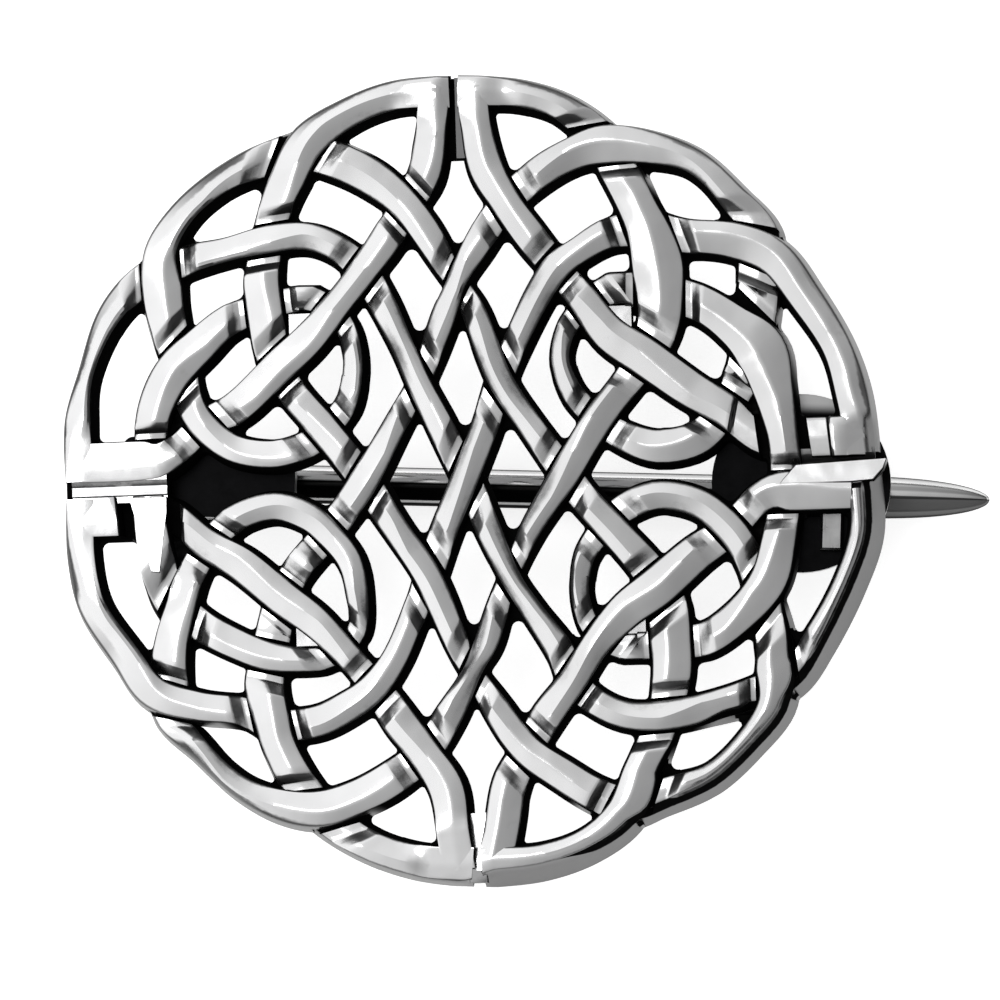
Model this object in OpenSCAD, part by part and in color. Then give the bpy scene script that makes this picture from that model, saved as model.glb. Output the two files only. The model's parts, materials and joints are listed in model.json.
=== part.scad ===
// Celtic knot brooch: an open cast knot disc with a hinged pin behind it.
// The brooch lies on its back, face up: +Z is its front, +X runs along the
// pin to its tip, and Z = 0 is the surface that it rests on. Millimetres.

/* [Knot] */
// Diameter of the knot over its rim
knot_d = 40; // [36:0.5:44]
// Height of the strands above the flat back of the casting
strand_h = 2.2; // [1.9:0.1:2.6]
// Height that is left of a strand where it dips under another
dip_h = 1.5; // [1.2:0.1:1.6]
// Drop from a strand's ridge to its two shoulders
crown = 0.35; // [0.2:0.05:0.5]
// Draft of a strand's side walls, per side
draft = 0.26; // [0.1:0.02:0.32]
// Factor on the width of every strand
strand_w_factor = 1; // [0.9:0.02:1.08]
// Turn of the knot's pattern against the line of the pin, in degrees
knot_turn = 3.4; // [0:0.2:6]

/* [Fittings] */
// Diameter of the round plate that carries the catch
plate_d = 8.8; // [8.5:0.1:9.2]
// Length of the oblong plate that carries the hinge, along the pin
hinge_plate_len = 8.6; // [7.6:0.1:9]
// Thickness of the two plates behind the knot
plate_t = 0.9; // [0.7:0.05:1.1]
// Height of the hinge lugs and of the catch, below the plates
fitting_h = 4.2; // [4:0.1:5]
// Place of the hinge rivet along the pin, from the knot's centre
hinge_x = -12.9; // [-13.6:0.1:-12.6]
// Place of the catch along the pin, from the knot's centre
catch_x = 16.4; // [15.8:0.1:16.5]
// Thickness of each hinge lug
lug_t = 0.9; // [0.8:0.1:1.2]
// Length of the catch along the pin
catch_len = 4.4; // [4:0.1:5]
// Thickness of each prong of the catch
prong_t = 1.1; // [0.9:0.1:1.4]

/* [Pin] */
// Diameter of the round pin stem
pin_d = 1.9; // [1.7:0.05:2]
// Largest diameter of the pin's pointed end
pin_swell_d = 2.1; // [2:0.05:2.2]
// Distance of the pin's point from the knot's centre
pin_tip_x = 25.6; // [24.6:0.1:26]
// Length of the pointed end
pin_point_len = 6.4; // [5.6:0.1:7]
// Height of the pin's centre line above the rest surface
pin_z = 1.9; // [1.8:0.05:2.1]
// Offset of the pin's line from the knot's centre
pin_y = -0.2; // [-0.3:0.1:0.3]
// Offset of the round plate from the knot's centre
plate_y = 0.2; // [0:0.1:0.5]
// Diameter of the hinge rivet
rivet_d = 1; // [0.8:0.05:1.2]

/* [Hidden] */

k = knot_d / 40;                    // scale of the knot's layout
solder_gap = 0.03;                  // seam between a plate and the knot
run_gap = 0.05;                     // radial clearance of the pin's eye
eye_d = 3.2;                        // outside of the pin's eye
eye_t = 1.9;                        // width of the eye between the lugs
side_gap = 0.1;                     // gap on each side of the eye
plate_z = fitting_h;                // underside of the plates
knot_z = fitting_h + plate_t + solder_gap;
mid_x = (pin_tip_x - knot_d / 2) / 2;   // middle of the whole brooch

// ---- layout of the knot ----
// The knot repeats in four quarters, each the mirror image of its neighbour.
// Each strand of a quarter is a short table of places that it passes.
// Columns: x, y (from the knot's centre, +X right, +Y up), width at its foot.

// rim: from the top corner round the rim, then inwards past the ring
RIM = [
  [0.6, 19.05, 2.0], [3.0, 18.9, 1.8], [5.3, 18.1, 1.8], [7.2, 16.7, 2.1],
  [8.3, 14.8, 2.1], [9.1, 13.0, 2.0], [9.5, 11.8, 2.1], [9.8, 10.2, 2.3],
  [9.7, 8.8, 2.2], [9.5, 7.4, 2.2], [9.1, 6.0, 2.0], [8.3, 4.6, 1.9],
  [7.1, 2.9, 1.9], [6.0, 1.4, 1.9], [5.0, 0.0, 1.9]];

// link: from the upper crossing down to the side crossing
LINK = [[0.0, 9.6, 1.4], [0.9, 7.7, 1.7], [2.2, 4.8, 1.7], [3.5, 2.5, 1.7],
  [5.0, 0.0, 1.9]];

// sweep: from the upper crossing out to the rim, down it and round the ring
SWEEP = [
  [0.0, 9.6, 1.4], [1.1, 11.6, 1.8], [2.4, 13.5, 1.9], [4.1, 14.9, 2.0],
  [5.8, 15.8, 2.0], [7.5, 16.3, 2.2], [9.5, 16.0, 2.0], [11.7, 15.2, 1.7],
  [13.6, 13.7, 1.7], [14.8, 11.7, 2.0], [14.9, 9.6, 2.3], [14.6, 7.8, 2.1],
  [14.0, 6.0, 1.9], [13.5, 4.3, 1.8], [12.8, 2.9, 1.8], [11.4, 1.7, 1.8],
  [9.5, 1.3, 1.8], [7.8, 1.8, 1.8], [6.7, 2.7, 1.7], [5.7, 4.0, 1.6],
  [5.3, 5.7, 1.5], [5.5, 7.3, 1.5], [6.3, 8.6, 1.6]];

// tail: from the top of the ring outwards and down to the side bar
TAIL = [
  [6.3, 8.6, 1.6], [7.7, 9.1, 1.7], [9.6, 8.8, 1.8], [11.5, 8.2, 1.9],
  [13.2, 7.0, 2.0], [14.4, 5.6, 2.2], [15.1, 3.8, 2.1], [15.6, 1.6, 1.9],
  [15.7, 0.0, 1.9]];

// inner: from the top corner inwards, then the long diagonal and the side bar
INNER = [
  [0.95, 19.6, 1.9], [1.25, 17.5, 1.9], [1.6, 15.3, 2.1], [2.4, 13.5, 1.9],
  [3.5, 11.9, 2.0], [4.8, 10.3, 1.9], [6.1, 8.7, 1.9], [7.5, 7.1, 2.1],
  [9.0, 5.8, 2.1], [11.1, 4.0, 2.1], [12.8, 2.9, 1.9], [14.5, 1.5, 1.9],
  [16.0, 1.35, 2.3], [19.6, 1.35, 2.3]];

// brow: from the side corner up the rim, over the ring and down to the centre
BROW = [
  [19.05, 0.8, 1.8], [19.1, 3.3, 1.8], [18.6, 5.8, 1.8], [17.3, 8.5, 1.9],
  [15.7, 10.3, 2.0], [13.6, 11.2, 1.9], [11.4, 11.6, 1.8], [9.5, 12.0, 1.9],
  [7.6, 12.1, 1.9], [6.0, 11.4, 1.9], [4.8, 10.3, 1.9], [3.8, 8.7, 1.8],
  [2.9, 6.6, 1.7], [2.2, 4.8, 1.8], [1.1, 2.4, 1.8], [0.0, 0.0, 1.8]];

TABLES = [RIM, LINK, SWEEP, TAIL, INNER, BROW];
rim = 0; link = 1; sweep = 2; tail = 3; inner = 4; brow = 5; none = 9;

// Crossings. Columns: x, y, and the strand that dips there in the quarters
// right-top, left-top, left-bottom and right-bottom.
CROSSINGS = [
  [ 7.3, 16.4, rim,   sweep, rim,   sweep],
  [ 2.4, 13.5, sweep, inner, sweep, inner],
  [ 9.5, 11.8, brow,  rim,   brow,  rim],
  [ 4.8, 10.3, inner, brow,  inner, brow],
  [ 6.1,  8.6, sweep, sweep, sweep, sweep],
  [ 6.1,  8.6, tail,  tail,  tail,  tail],
  [ 9.6,  8.8, tail,  tail,  rim,   tail],
  [ 9.0,  6.0, rim,   rim,   rim,   rim],
  [ 6.8,  2.6, sweep, sweep, rim,   sweep],
  [14.0,  6.0, sweep, sweep, tail,  sweep],
  [12.8,  2.9, sweep, inner, sweep, inner],
  [15.6,  1.4, inner, tail,  inner, tail],
  [14.9, 10.9, sweep, brow,  sweep, brow],
  [ 0.0,  9.6, link,  sweep, link,  sweep],
  [ 2.2,  4.8, brow,  link,  brow,  link],
  [ 0.0,  0.0, none,  brow,  none,  brow],
  [ 5.0,  0.0, link,  rim,   link,  rim]];

// The cast pattern is hand cut and not quite even. Each row shifts and widens
// what is near it. Columns: x, y on the whole disc, shift in x, shift in y,
// extra width. One block for each quarter.
UNEVEN = [
  // right-top
  [  8.5,  16.3, -0.1, -0.2,  0.0], [  8.5,  14.3, -0.3, -0.1,  0.4],
  [ 11.0,  15.4,  0.1,  0.2,  0.0], [ 13.0,  14.3, -0.3, -0.3,  0.0],
  [ 11.8,  11.8,  0.0, -0.2,  0.1], [ 13.8,  11.2,  0.0,  0.0,  0.4],
  [ 17.1,   8.5, -0.4, -0.3,  0.2], [ 18.6,   5.8, -0.2,  0.0,  0.0],
  [ 14.9,   9.8, -0.2,  0.0,  0.1], [ 14.4,   5.6,  0.3,  0.1,  0.8],
  [  9.6,  10.2, -0.1,  0.0,  0.8], [  9.7,   7.3,  0.4,  0.0,  0.4],
  [  6.5,  11.8, -0.1, -0.5, -0.2], [  7.6,   6.5, -0.4, -0.4,  0.0],
  [  5.5,   5.2, -0.5,  0.0, -0.2], [  6.3,   2.7, -0.2,  0.1,  0.0],
  [  2.3,   4.8, -0.4,  0.0,  0.0], [  3.5,   2.5, -0.2, -0.1,  0.0],
  [  0.9,   9.6, -0.2,  0.0,  0.0], [  1.4,  16.8, -0.3,  0.0,  0.0],
  // left-top
  [ -3.8,  18.8,  0.0,  0.1,  0.1], [ -7.5,  16.8, -0.2,  0.2,  0.1],
  [ -5.3,  15.5,  0.0,  0.0,  0.3], [ -9.2,  13.8, -0.2,  0.0,  0.1],
  [-12.5,  14.5,  0.1, -0.1,  0.1], [-14.6,   9.0,  0.3,  0.0,  0.2],
  [-17.2,   9.2, -0.2,  0.2, -0.2], [-18.1,   6.3,  0.0,  0.0, -0.6],
  [-15.2,   4.5, -0.2,  0.0,  0.1], [-12.8,   6.4,  0.2, -0.1,  0.2],
  [ -6.8,  11.7,  0.1,  0.1, -0.2], [-10.9,  11.6,  0.0,  0.1, -0.2],
  [-11.2,   4.0,  0.1, -0.2, -0.1], [-12.8,   2.8, -0.2,  0.3,  0.0],
  [ -9.4,   1.7,  0.0,  0.2,  0.0], [ -8.3,   4.8, -0.2, -0.1,  0.0],
  [ -5.3,   7.0, -0.1,  0.0, -0.1], [ -1.4,  10.3, -0.1,  0.0,  0.1],
  [ -2.2,   4.8,  0.0,  0.0, -0.2], [ -1.8,  12.8, -0.2,  0.0,  0.0],
  [ -1.4,  16.8,  0.2,  0.0,  0.0],
  // left-bottom
  [ -4.0, -18.8,  0.0,  0.3,  0.2], [ -7.5, -16.9, -0.2,  0.3,  0.0],
  [-10.5, -16.0,  0.1,  0.3, -0.1], [ -8.8, -13.8, -0.6, -0.1,  0.1],
  [-13.0, -14.0,  0.4,  0.5, -0.3], [-12.0, -11.5,  0.0,  0.7,  0.0],
  [ -6.5, -11.6,  0.0,  0.5,  0.1], [-17.4,  -8.8,  0.3,  0.3,  0.0],
  [-14.8, -10.6, -0.1,  0.2,  0.0], [-15.3,  -4.5, -0.2,  0.0,  0.1],
  [-14.0,  -6.5, -0.3,  0.1,  0.0], [-11.7,  -8.0,  0.1,  0.5,  0.0],
  [ -9.9, -10.0, -0.7,  0.0,  0.1], [ -7.7,  -9.2,  0.0,  0.8,  0.0],
  [ -9.3,  -1.6,  0.0,  0.2,  0.0], [ -8.3,  -4.8, -0.3,  0.2,  0.0],
  [ -5.4,  -6.4, -0.4,  0.1,  0.1], [ -3.3,  -7.3,  0.3,  0.0, -0.1],
  [ -2.2,  -4.6,  0.2,  0.0,  0.1], [ -3.6, -12.3, -0.2,  0.0,  0.1],
  [ -6.3,  -8.4,  0.0,  0.0, -0.4], [ -3.9,  -9.0,  0.1,  0.0, -0.1],
  [ -4.4, -15.0, -0.1,  0.2,  0.2],
  // right-bottom
  [  5.0, -18.6,  0.1, -0.1,  0.2], [  9.5, -16.1, -0.1,  0.2,  0.0],
  [  8.5, -14.3, -0.2,  0.1,  0.1], [  4.5, -15.1,  0.2,  0.2,  0.0],
  [ 13.4, -13.6, -0.2,  0.3,  0.0], [ 11.4, -11.6,  0.0, -0.3,  0.0],
  [ 17.4,  -8.5, -0.2,  0.1,  0.0], [ 14.9, -10.6,  0.2, -0.1,  0.0],
  [ 12.9,  -7.5,  0.0, -0.3,  0.1], [ 14.1,  -5.8,  0.4,  0.1,  0.0],
  [ 13.3, -10.9,  0.0,  0.2,  0.2], [  7.3, -16.8,  0.1, -0.2,  0.1],
  [ 15.9, -10.2, -0.2,  0.1,  0.0], [ 12.2,  -4.3,  0.1, -0.2,  0.1],
  [  7.9,  -9.2,  0.0,  0.7,  0.0],
  [  6.7, -11.5,  0.0,  0.1, -0.2], [ 10.0,  -7.0,  0.3,  0.1,  0.4],
  [  8.3,  -4.8,  0.3,  0.1,  0.2], [  9.5,  -1.6,  0.0,  0.1,  0.0],
  [  5.5,  -5.5,  0.2,  0.0, -0.2], [  3.6,  -8.6,  0.5,  0.2,  0.0],
  [  2.6,  -4.6, -0.2, -0.1, -0.4], [  3.7,  -2.5, -0.4, -0.1, -0.1],
  [  1.7, -12.8,  0.2,  0.0,  0.0], [ 17.8,  -1.4,  0.0,  0.2,  0.2],
  [ 19.6,  -2.2,  0.5,  0.0,  0.0], [ 19.4,   1.6,  0.2,  0.0,  0.0],
  [ 10.6,   1.4,  0.0, -0.2,  0.4], [ 18.7,   3.6, -0.2,  0.0,  0.4],
  [ 19.7,  -0.4,  0.6,  0.0,  0.0]];
reach = 2;                          // how far a row's shift reaches

// Signs of the quarters: right-top, left-top, left-bottom, right-bottom
QUARTERS = [[1, 1], [-1, 1], [-1, -1], [1, -1]];
function below(q) = 3 - q;                  // quarter across the level axis
function opposite(q) = (q + 2) % 4;         // quarter across the centre

function sum(v, i = 0) = i >= len(v) ? 0 : v[i] + sum(v, i + 1);
function weight(p, r) = exp(-(pow(p.x - r[0], 2) + pow(p.y - r[1], 2)) / (reach * reach));
// what UNEVEN adds at place p: shift in x, shift in y, extra width
function added(p) = let (w = [for (r = UNEVEN) weight(p, r)], s = max(1, sum(w)))
  [for (c = [2:4]) sum([for (i = [0:len(w) - 1]) w[i] * UNEVEN[i][c]]) / s];

// place of a table row in quarter q, on the real disc
function mirrored(p, q) = [p[0] * QUARTERS[q][0], p[1] * QUARTERS[q][1]];
function spot(p, q) = let (m = mirrored(p, q), a = added(m)) k * [m.x + a[0], m.y + a[1]];

// rows of strand s in quarter q. Columns: x, y, width, strand, quarter
function rows(s, q) = [for (r = TABLES[s]) let (m = mirrored(r, q), a = added(m))
  [k * (m.x + a[0]), k * (m.y + a[1]), k * (r[2] + a[2]), s, q]];
function back(v) = [for (i = [len(v) - 1:-1:0]) v[i]];
function rest(v) = [for (i = [1:len(v) - 1]) v[i]];

// the knot's runs. The first four go from a corner along rim, link and sweep
// and end under the ring's crossing, where the next two, the tails, go on.
RUNS = concat(
  [for (q = [0:3]) concat(rows(rim, q), rest(back(rows(link, below(q)))),
    rest(rows(sweep, opposite(q))))],
  [for (q = [0:1]) concat(rows(tail, q), rest(back(rows(tail, below(q)))))],
  [for (q = [0:3]) rows(inner, q)],
  [for (q = [0:1]) concat(rows(brow, q), rest(back(rows(brow, opposite(q)))))]);

// smooth curve through the rows of a run, with steps from row to row
function between(a, b, c, d, t) = 0.5 * (2 * b + (c - a) * t
  + (2 * a - 5 * b + 4 * c - d) * t * t + (3 * b - a - 3 * c + d) * t * t * t);
function place3(r) = [r[0], r[1], r[2]];
function curve(r, n) = let (m = len(r) - 1) concat(
  [for (i = [0:m - 1]) for (j = [0:n - 1]) concat(
    between(place3(r[max(i - 1, 0)]), place3(r[i]), place3(r[i + 1]),
      place3(r[min(i + 2, m)]), j / n), [r[i][3], r[i][4]])],
  [r[m]]);

// height of a strand: full, or lower near each crossing where it dips
function flat(p) = [p[0], p[1]];
function near(p, c) = min(1, max(0, (norm(p - c) - 0.95 * k) / (0.6 * k)));
function height(r) = strand_h - (strand_h - dip_h) * (1 - min(concat([1],
  [for (c = CROSSINGS) if (c[2 + r[4]] == r[3]) near(flat(r), spot(c, r[4]))])));

// the five corners of a strand's section at place p, across direction u
function section(p, u, w, h) = let (c = [-u.y, u.x] * w / 2, g = [-u.y, u.x] * (w / 2 - draft))
  [[p.x - c.x, p.y - c.y, 0],
   [p.x - g.x, p.y - g.y, h - crown],
   [p.x, p.y, h],
   [p.x + g.x, p.y + g.y, h - crown],
   [p.x + c.x, p.y + c.y, 0]];

module run(r, n) {
  path = curve(r, n);
  m = len(path) - 1;
  cuts = [for (i = [0:m]) let (a = flat(path[max(i - 1, 0)]), b = flat(path[min(i + 1, m)]))
    section(flat(path[i]), (b - a) / norm(b - a), path[i][2] * strand_w_factor,
      height(path[i]))];
  polyhedron(points = [for (c = cuts) for (p = c) p], faces = concat(
    [[0, 4, 3, 2, 1]],
    [for (i = [0:m - 1]) for (j = [0:4]) let (a = 5 * i + j, b = 5 * i + (j + 1) % 5)
      each [[a, b, b + 5], [a, b + 5, a + 5]]],
    [[for (j = [0:4]) 5 * m + j]]));
}

// squared corner where two runs meet
module corner(p) hull() translate([p.x, p.y, 0]) {
  linear_extrude(strand_h - crown - 0.03) square(1.66 * k, center = true);
  linear_extrude(strand_h - 0.02) square(0.5 * k, center = true);
}

// low web that closes the groove between two strands side by side
module web(from, to, w) hull() for (p = [from, to])
  translate([p.x - w / 2, p.y - w / 2, 0]) cube([w, w, dip_h - 0.3]);

module knot_frame() color([0.78, 0.78, 0.79]) place()
  translate([0, 0, knot_z]) rotate([0, 0, knot_turn]) {
    for (r = RUNS) run(r, 1);
    for (q = [0:3]) for (p = [[1.0, 18.95], [19.1, 1.3]]) corner(spot(p, q));
    for (q = [0:3]) for (p = [[7.9, 7.8], [14.1, 3.2]])
      web(spot(p, q), spot(p, q), 1.2);
    for (s = [-1, 1]) {
      web([0, 16.4 * s] * k, [0, 18.9 * s] * k, 1.2);
      web([15.6 * s, 0] * k, [19 * s, 0] * k, 1.2);
    }
  }

// origin in the middle of the whole brooch's outline
module place() translate([-mid_x, 0, 0]) children();

// round plate of the catch, with a small bevel on its rear edge
module round_plate() translate([catch_x, plate_y, plate_z]) {
  cylinder(d1 = plate_d - 0.4, d2 = plate_d, h = 0.2, $fn = 96);
  translate([0, 0, 0.2]) cylinder(d = plate_d, h = plate_t - 0.2, $fn = 96);
}

// oblong plate of the hinge, with round corners
module oblong_plate(l, w, r) translate([hinge_x, pin_y, plate_z]) linear_extrude(plate_t) {
  square([l - 2 * r, w], center = true);
  square([l, w - 2 * r], center = true);
  for (sx = [-1, 1]) for (sy = [-1, 1])
    translate([sx * (l / 2 - r), sy * (w / 2 - r)]) circle(r = r, $fn = 48);
}

// rounded lug with a flat foot, its round part about the rivet
module lug(y) {
  translate([hinge_x, y + lug_t / 2, 0]) rotate([90, 0, 0]) linear_extrude(lug_t)
    difference() {
      union() {
        intersection() {
          translate([0, pin_z]) circle(d = 5, $fn = 96);
          translate([-3, 0]) square([6, pin_z]);
        }
        translate([-2.5, pin_z]) square([5, plate_z - pin_z + 0.1]);
      }
      translate([0, pin_z]) circle(d = rivet_d, $fn = 48);
    }
}

module hinge_fitting() color([0.2, 0.2, 0.21]) place() {
  oblong_plate(hinge_plate_len, eye_t + 2 * side_gap + 2 * lug_t, 0.5);
  for (s = [-1, 1]) lug(pin_y + s * (eye_t / 2 + side_gap + lug_t / 2));
}

// fork with a rear mouth that the pin snaps into
module catch_fitting() color([0.2, 0.2, 0.21]) place() {
  round_plate();
  slot_w = pin_d + 0.4;
  translate([catch_x - catch_len / 2, pin_y, 0]) rotate([90, 0, 90])
    linear_extrude(catch_len) difference() {
      union() {
        translate([-slot_w / 2 - prong_t, 0.5]) square([slot_w + 2 * prong_t, plate_z - 0.4]);
        for (s = [-1, 1]) translate([s * (slot_w + prong_t) / 2, 0.5])
          intersection() {
            circle(d = prong_t, $fn = 48);
            translate([-2, -0.5]) square([4, 1]);
          }
      }
      translate([0, pin_z + 0.15]) circle(d = slot_w, $fn = 48);
      translate([-slot_w / 2, -1]) square([slot_w, pin_z + 1.15]);
    }
}

// half outline of the pin's round stem and pointed end, radius against length
pin_len = pin_tip_x - hinge_x;
point_x = pin_len - pin_point_len;
function point_r(t) = pin_swell_d / 2 * sqrt(max(0, 1 - pow(t, 2.3)));

module pin_stem() color([0.75, 0.75, 0.76]) place() translate([hinge_x, pin_y, pin_z])
  difference() {
    union() {
      rotate([90, 0, 0]) translate([0, 0, -eye_t / 2]) cylinder(d = eye_d, h = eye_t, $fn = 96);
      rotate([0, 90, 0]) rotate_extrude($fn = 64) polygon(concat(
        [[0, 0], [pin_d / 2, 0], [pin_d / 2, point_x - 2]],
        [for (t = [0:0.125:0.875]) [point_r(t), point_x + pin_point_len * t]],
        [[point_r(0.96), point_x + pin_point_len * 0.96], [0, pin_len]]));
    }
    translate([0, eye_t, 0]) rotate([90, 0, 0])
      cylinder(d = rivet_d + 2 * run_gap, h = 2 * eye_t, $fn = 96);
  }

// rivet through both lugs and the eye, with two low round heads
module hinge_rivet() color([0.7, 0.7, 0.71]) place() translate([hinge_x, pin_y, pin_z])
  rotate([90, 0, 0]) {
    half = eye_t / 2 + side_gap + lug_t;
    translate([0, 0, -half - 0.02]) cylinder(d = rivet_d - 0.02, h = 2 * half + 0.04, $fn = 96);
    for (s = [-1, 1]) translate([0, 0, s > 0 ? half + 0.02 : -half - 0.42])
      cylinder(d = rivet_d + 0.7, h = 0.4, $fn = 96);
  }

knot_frame();
hinge_fitting();
catch_fitting();
pin_stem();
hinge_rivet();
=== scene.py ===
"""Looks of the celtic knot brooch: a finer mesh of the cast knot, the finish of
every piece, and a plain studio. Metres in the end; the knot is worked out in
millimetres about its own centre and then put where the frame has it."""
import bpy
import bmesh
import json
import math
import numpy as np
from mathutils import Matrix, Vector

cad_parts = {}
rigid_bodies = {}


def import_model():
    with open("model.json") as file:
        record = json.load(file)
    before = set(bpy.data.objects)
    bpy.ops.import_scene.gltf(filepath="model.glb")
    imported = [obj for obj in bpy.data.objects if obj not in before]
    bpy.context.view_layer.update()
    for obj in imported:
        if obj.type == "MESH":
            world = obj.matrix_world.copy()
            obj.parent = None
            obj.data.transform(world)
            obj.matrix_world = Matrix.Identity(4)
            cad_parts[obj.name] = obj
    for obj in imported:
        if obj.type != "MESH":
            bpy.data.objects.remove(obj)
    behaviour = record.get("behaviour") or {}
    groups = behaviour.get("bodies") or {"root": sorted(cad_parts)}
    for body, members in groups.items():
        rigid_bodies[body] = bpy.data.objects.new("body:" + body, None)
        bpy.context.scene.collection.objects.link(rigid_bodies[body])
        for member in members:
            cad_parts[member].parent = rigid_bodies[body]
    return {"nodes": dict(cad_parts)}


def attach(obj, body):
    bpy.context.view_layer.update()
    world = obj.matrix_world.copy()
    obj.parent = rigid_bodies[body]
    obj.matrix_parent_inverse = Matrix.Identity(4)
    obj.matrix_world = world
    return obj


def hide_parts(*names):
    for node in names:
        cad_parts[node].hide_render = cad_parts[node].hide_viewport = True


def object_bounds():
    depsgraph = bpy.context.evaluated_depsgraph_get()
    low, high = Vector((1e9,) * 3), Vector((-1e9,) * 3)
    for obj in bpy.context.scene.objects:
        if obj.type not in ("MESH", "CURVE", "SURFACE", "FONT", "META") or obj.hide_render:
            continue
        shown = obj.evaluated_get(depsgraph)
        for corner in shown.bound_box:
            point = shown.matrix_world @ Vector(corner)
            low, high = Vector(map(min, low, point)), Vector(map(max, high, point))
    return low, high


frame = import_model()
CAD_BOX = [[float(v) for v in c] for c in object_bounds()]
scene = bpy.context.scene

# ---------------------------------------------------------------- sizes (mm)
STRAND_H = 2.2          # ridge of a strand above the flat back
DIP_H = 1.62            # top where it passes under another
GROOVE_H = 0.95         # floor of the thin groove along the upper strand
CROWN = 0.35            # drop from ridge to shoulder
DIP_CROWN = 0.10        # the same in a dip, where the top is nearly flat
DRAFT = 0.24            # slope of the side walls
TURN = 3.4              # turn of the pattern against the pin, degrees
MID_X = 2.8             # the knot's centre lies this far to the left of the origin
KNOT_Z = 5.13           # height of the knot's flat back
REACH = 2.0             # how far a row of UNEVEN reaches

# ------------------------------------------------------- layout of the knot
# Each strand of a quarter: x, y, width at its foot.
RIM = [
  [0.24, 19.05, 2.0], [3.0, 18.9, 1.8], [5.3, 18.1, 1.8], [7.2, 16.7, 2.1],
  [8.3, 14.8, 2.1], [9.1, 13.0, 2.0], [9.5, 11.8, 2.1], [9.8, 10.2, 2.3],
  [9.7, 8.8, 2.2], [9.5, 7.4, 2.2], [9.1, 6.0, 2.0], [8.3, 4.6, 1.9],
  [7.1, 2.9, 1.9], [6.0, 1.4, 1.9], [5.0, 0.0, 1.9]]
LINK = [[0.0, 9.6, 1.4], [0.9, 7.7, 1.7], [2.2, 4.8, 1.7], [3.5, 2.5, 1.7],
  [5.0, 0.0, 1.9]]
SWEEP = [
  [0.0, 9.6, 1.4], [1.1, 11.6, 1.8], [2.4, 13.5, 1.9], [4.1, 14.9, 2.0],
  [5.8, 15.8, 2.0], [7.5, 16.3, 2.2], [9.5, 16.0, 2.0], [11.7, 15.2, 1.7],
  [13.6, 13.7, 1.7], [14.8, 11.7, 2.0], [14.9, 9.6, 2.3], [14.6, 7.8, 2.1],
  [14.0, 6.0, 1.9], [13.5, 4.3, 1.8], [12.8, 2.9, 1.8], [11.4, 1.7, 1.8],
  [9.5, 1.3, 1.8], [7.8, 1.8, 1.8], [6.7, 2.7, 1.7], [5.7, 4.0, 1.6],
  [5.3, 5.7, 1.5], [5.5, 7.3, 1.5], [6.3, 8.6, 1.6]]
TAIL = [
  [6.3, 8.6, 1.6], [7.7, 9.1, 1.7], [9.6, 8.8, 1.8], [11.5, 8.2, 1.9],
  [13.2, 7.0, 2.0], [14.4, 5.6, 2.2], [15.1, 3.8, 2.1], [15.6, 1.6, 1.9],
  [15.7, 0.0, 1.9]]
INNER = [
  [0.95, 19.28, 1.9], [1.25, 17.5, 1.9], [1.6, 15.3, 2.1], [2.4, 13.5, 1.9],
  [3.5, 11.9, 2.0], [4.8, 10.3, 1.9], [6.1, 8.7, 1.9], [7.5, 7.1, 2.1],
  [9.0, 5.8, 2.1], [11.1, 4.0, 2.1], [12.8, 2.9, 1.9], [14.5, 1.5, 1.9],
  [16.0, 1.35, 2.3], [19.28, 1.35, 2.3]]
BROW = [
  [19.05, 0.44, 1.8], [19.1, 3.3, 1.8], [18.6, 5.8, 1.8], [17.3, 8.5, 1.9],
  [15.7, 10.3, 2.0], [13.6, 11.2, 1.9], [11.4, 11.6, 1.8], [9.5, 12.0, 1.9],
  [7.6, 12.1, 1.9], [6.0, 11.4, 1.9], [4.8, 10.3, 1.9], [3.8, 8.7, 1.8],
  [2.9, 6.6, 1.7], [2.2, 4.8, 1.8], [1.1, 2.4, 1.8], [0.0, 0.0, 1.8]]

rim, link, sweep, tail, inner, brow, none = 0, 1, 2, 3, 4, 5, 9

# x, y, and the strand that dips there in the quarters right-top, left-top,
# left-bottom and right-bottom
CROSSINGS = [
  [ 7.3, 16.4, rim,   sweep, rim,   sweep],
  [ 2.4, 13.5, sweep, inner, sweep, inner],
  [ 9.5, 11.8, brow,  rim,   brow,  rim],
  [ 4.8, 10.3, inner, brow,  inner, brow],
  [ 6.1,  8.6, sweep, sweep, sweep, sweep],
  [ 6.1,  8.6, tail,  tail,  tail,  tail],
  [ 9.6,  8.8, tail,  tail,  rim,   tail],
  [ 9.0,  6.0, rim,   rim,   rim,   rim],
  [ 6.8,  2.6, sweep, sweep, rim,   sweep],
  [14.0,  6.0, sweep, sweep, tail,  sweep],
  [12.8,  2.9, sweep, inner, sweep, inner],
  [15.6,  1.4, inner, tail,  inner, tail],
  [14.9, 10.9, sweep, brow,  sweep, brow],
  [ 0.0,  9.6, link,  sweep, link,  sweep],
  [ 2.2,  4.8, brow,  link,  brow,  link],
  [ 0.0,  0.0, none,  brow,  none,  brow],
  [ 5.0,  0.0, link,  rim,   link,  rim]]

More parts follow.
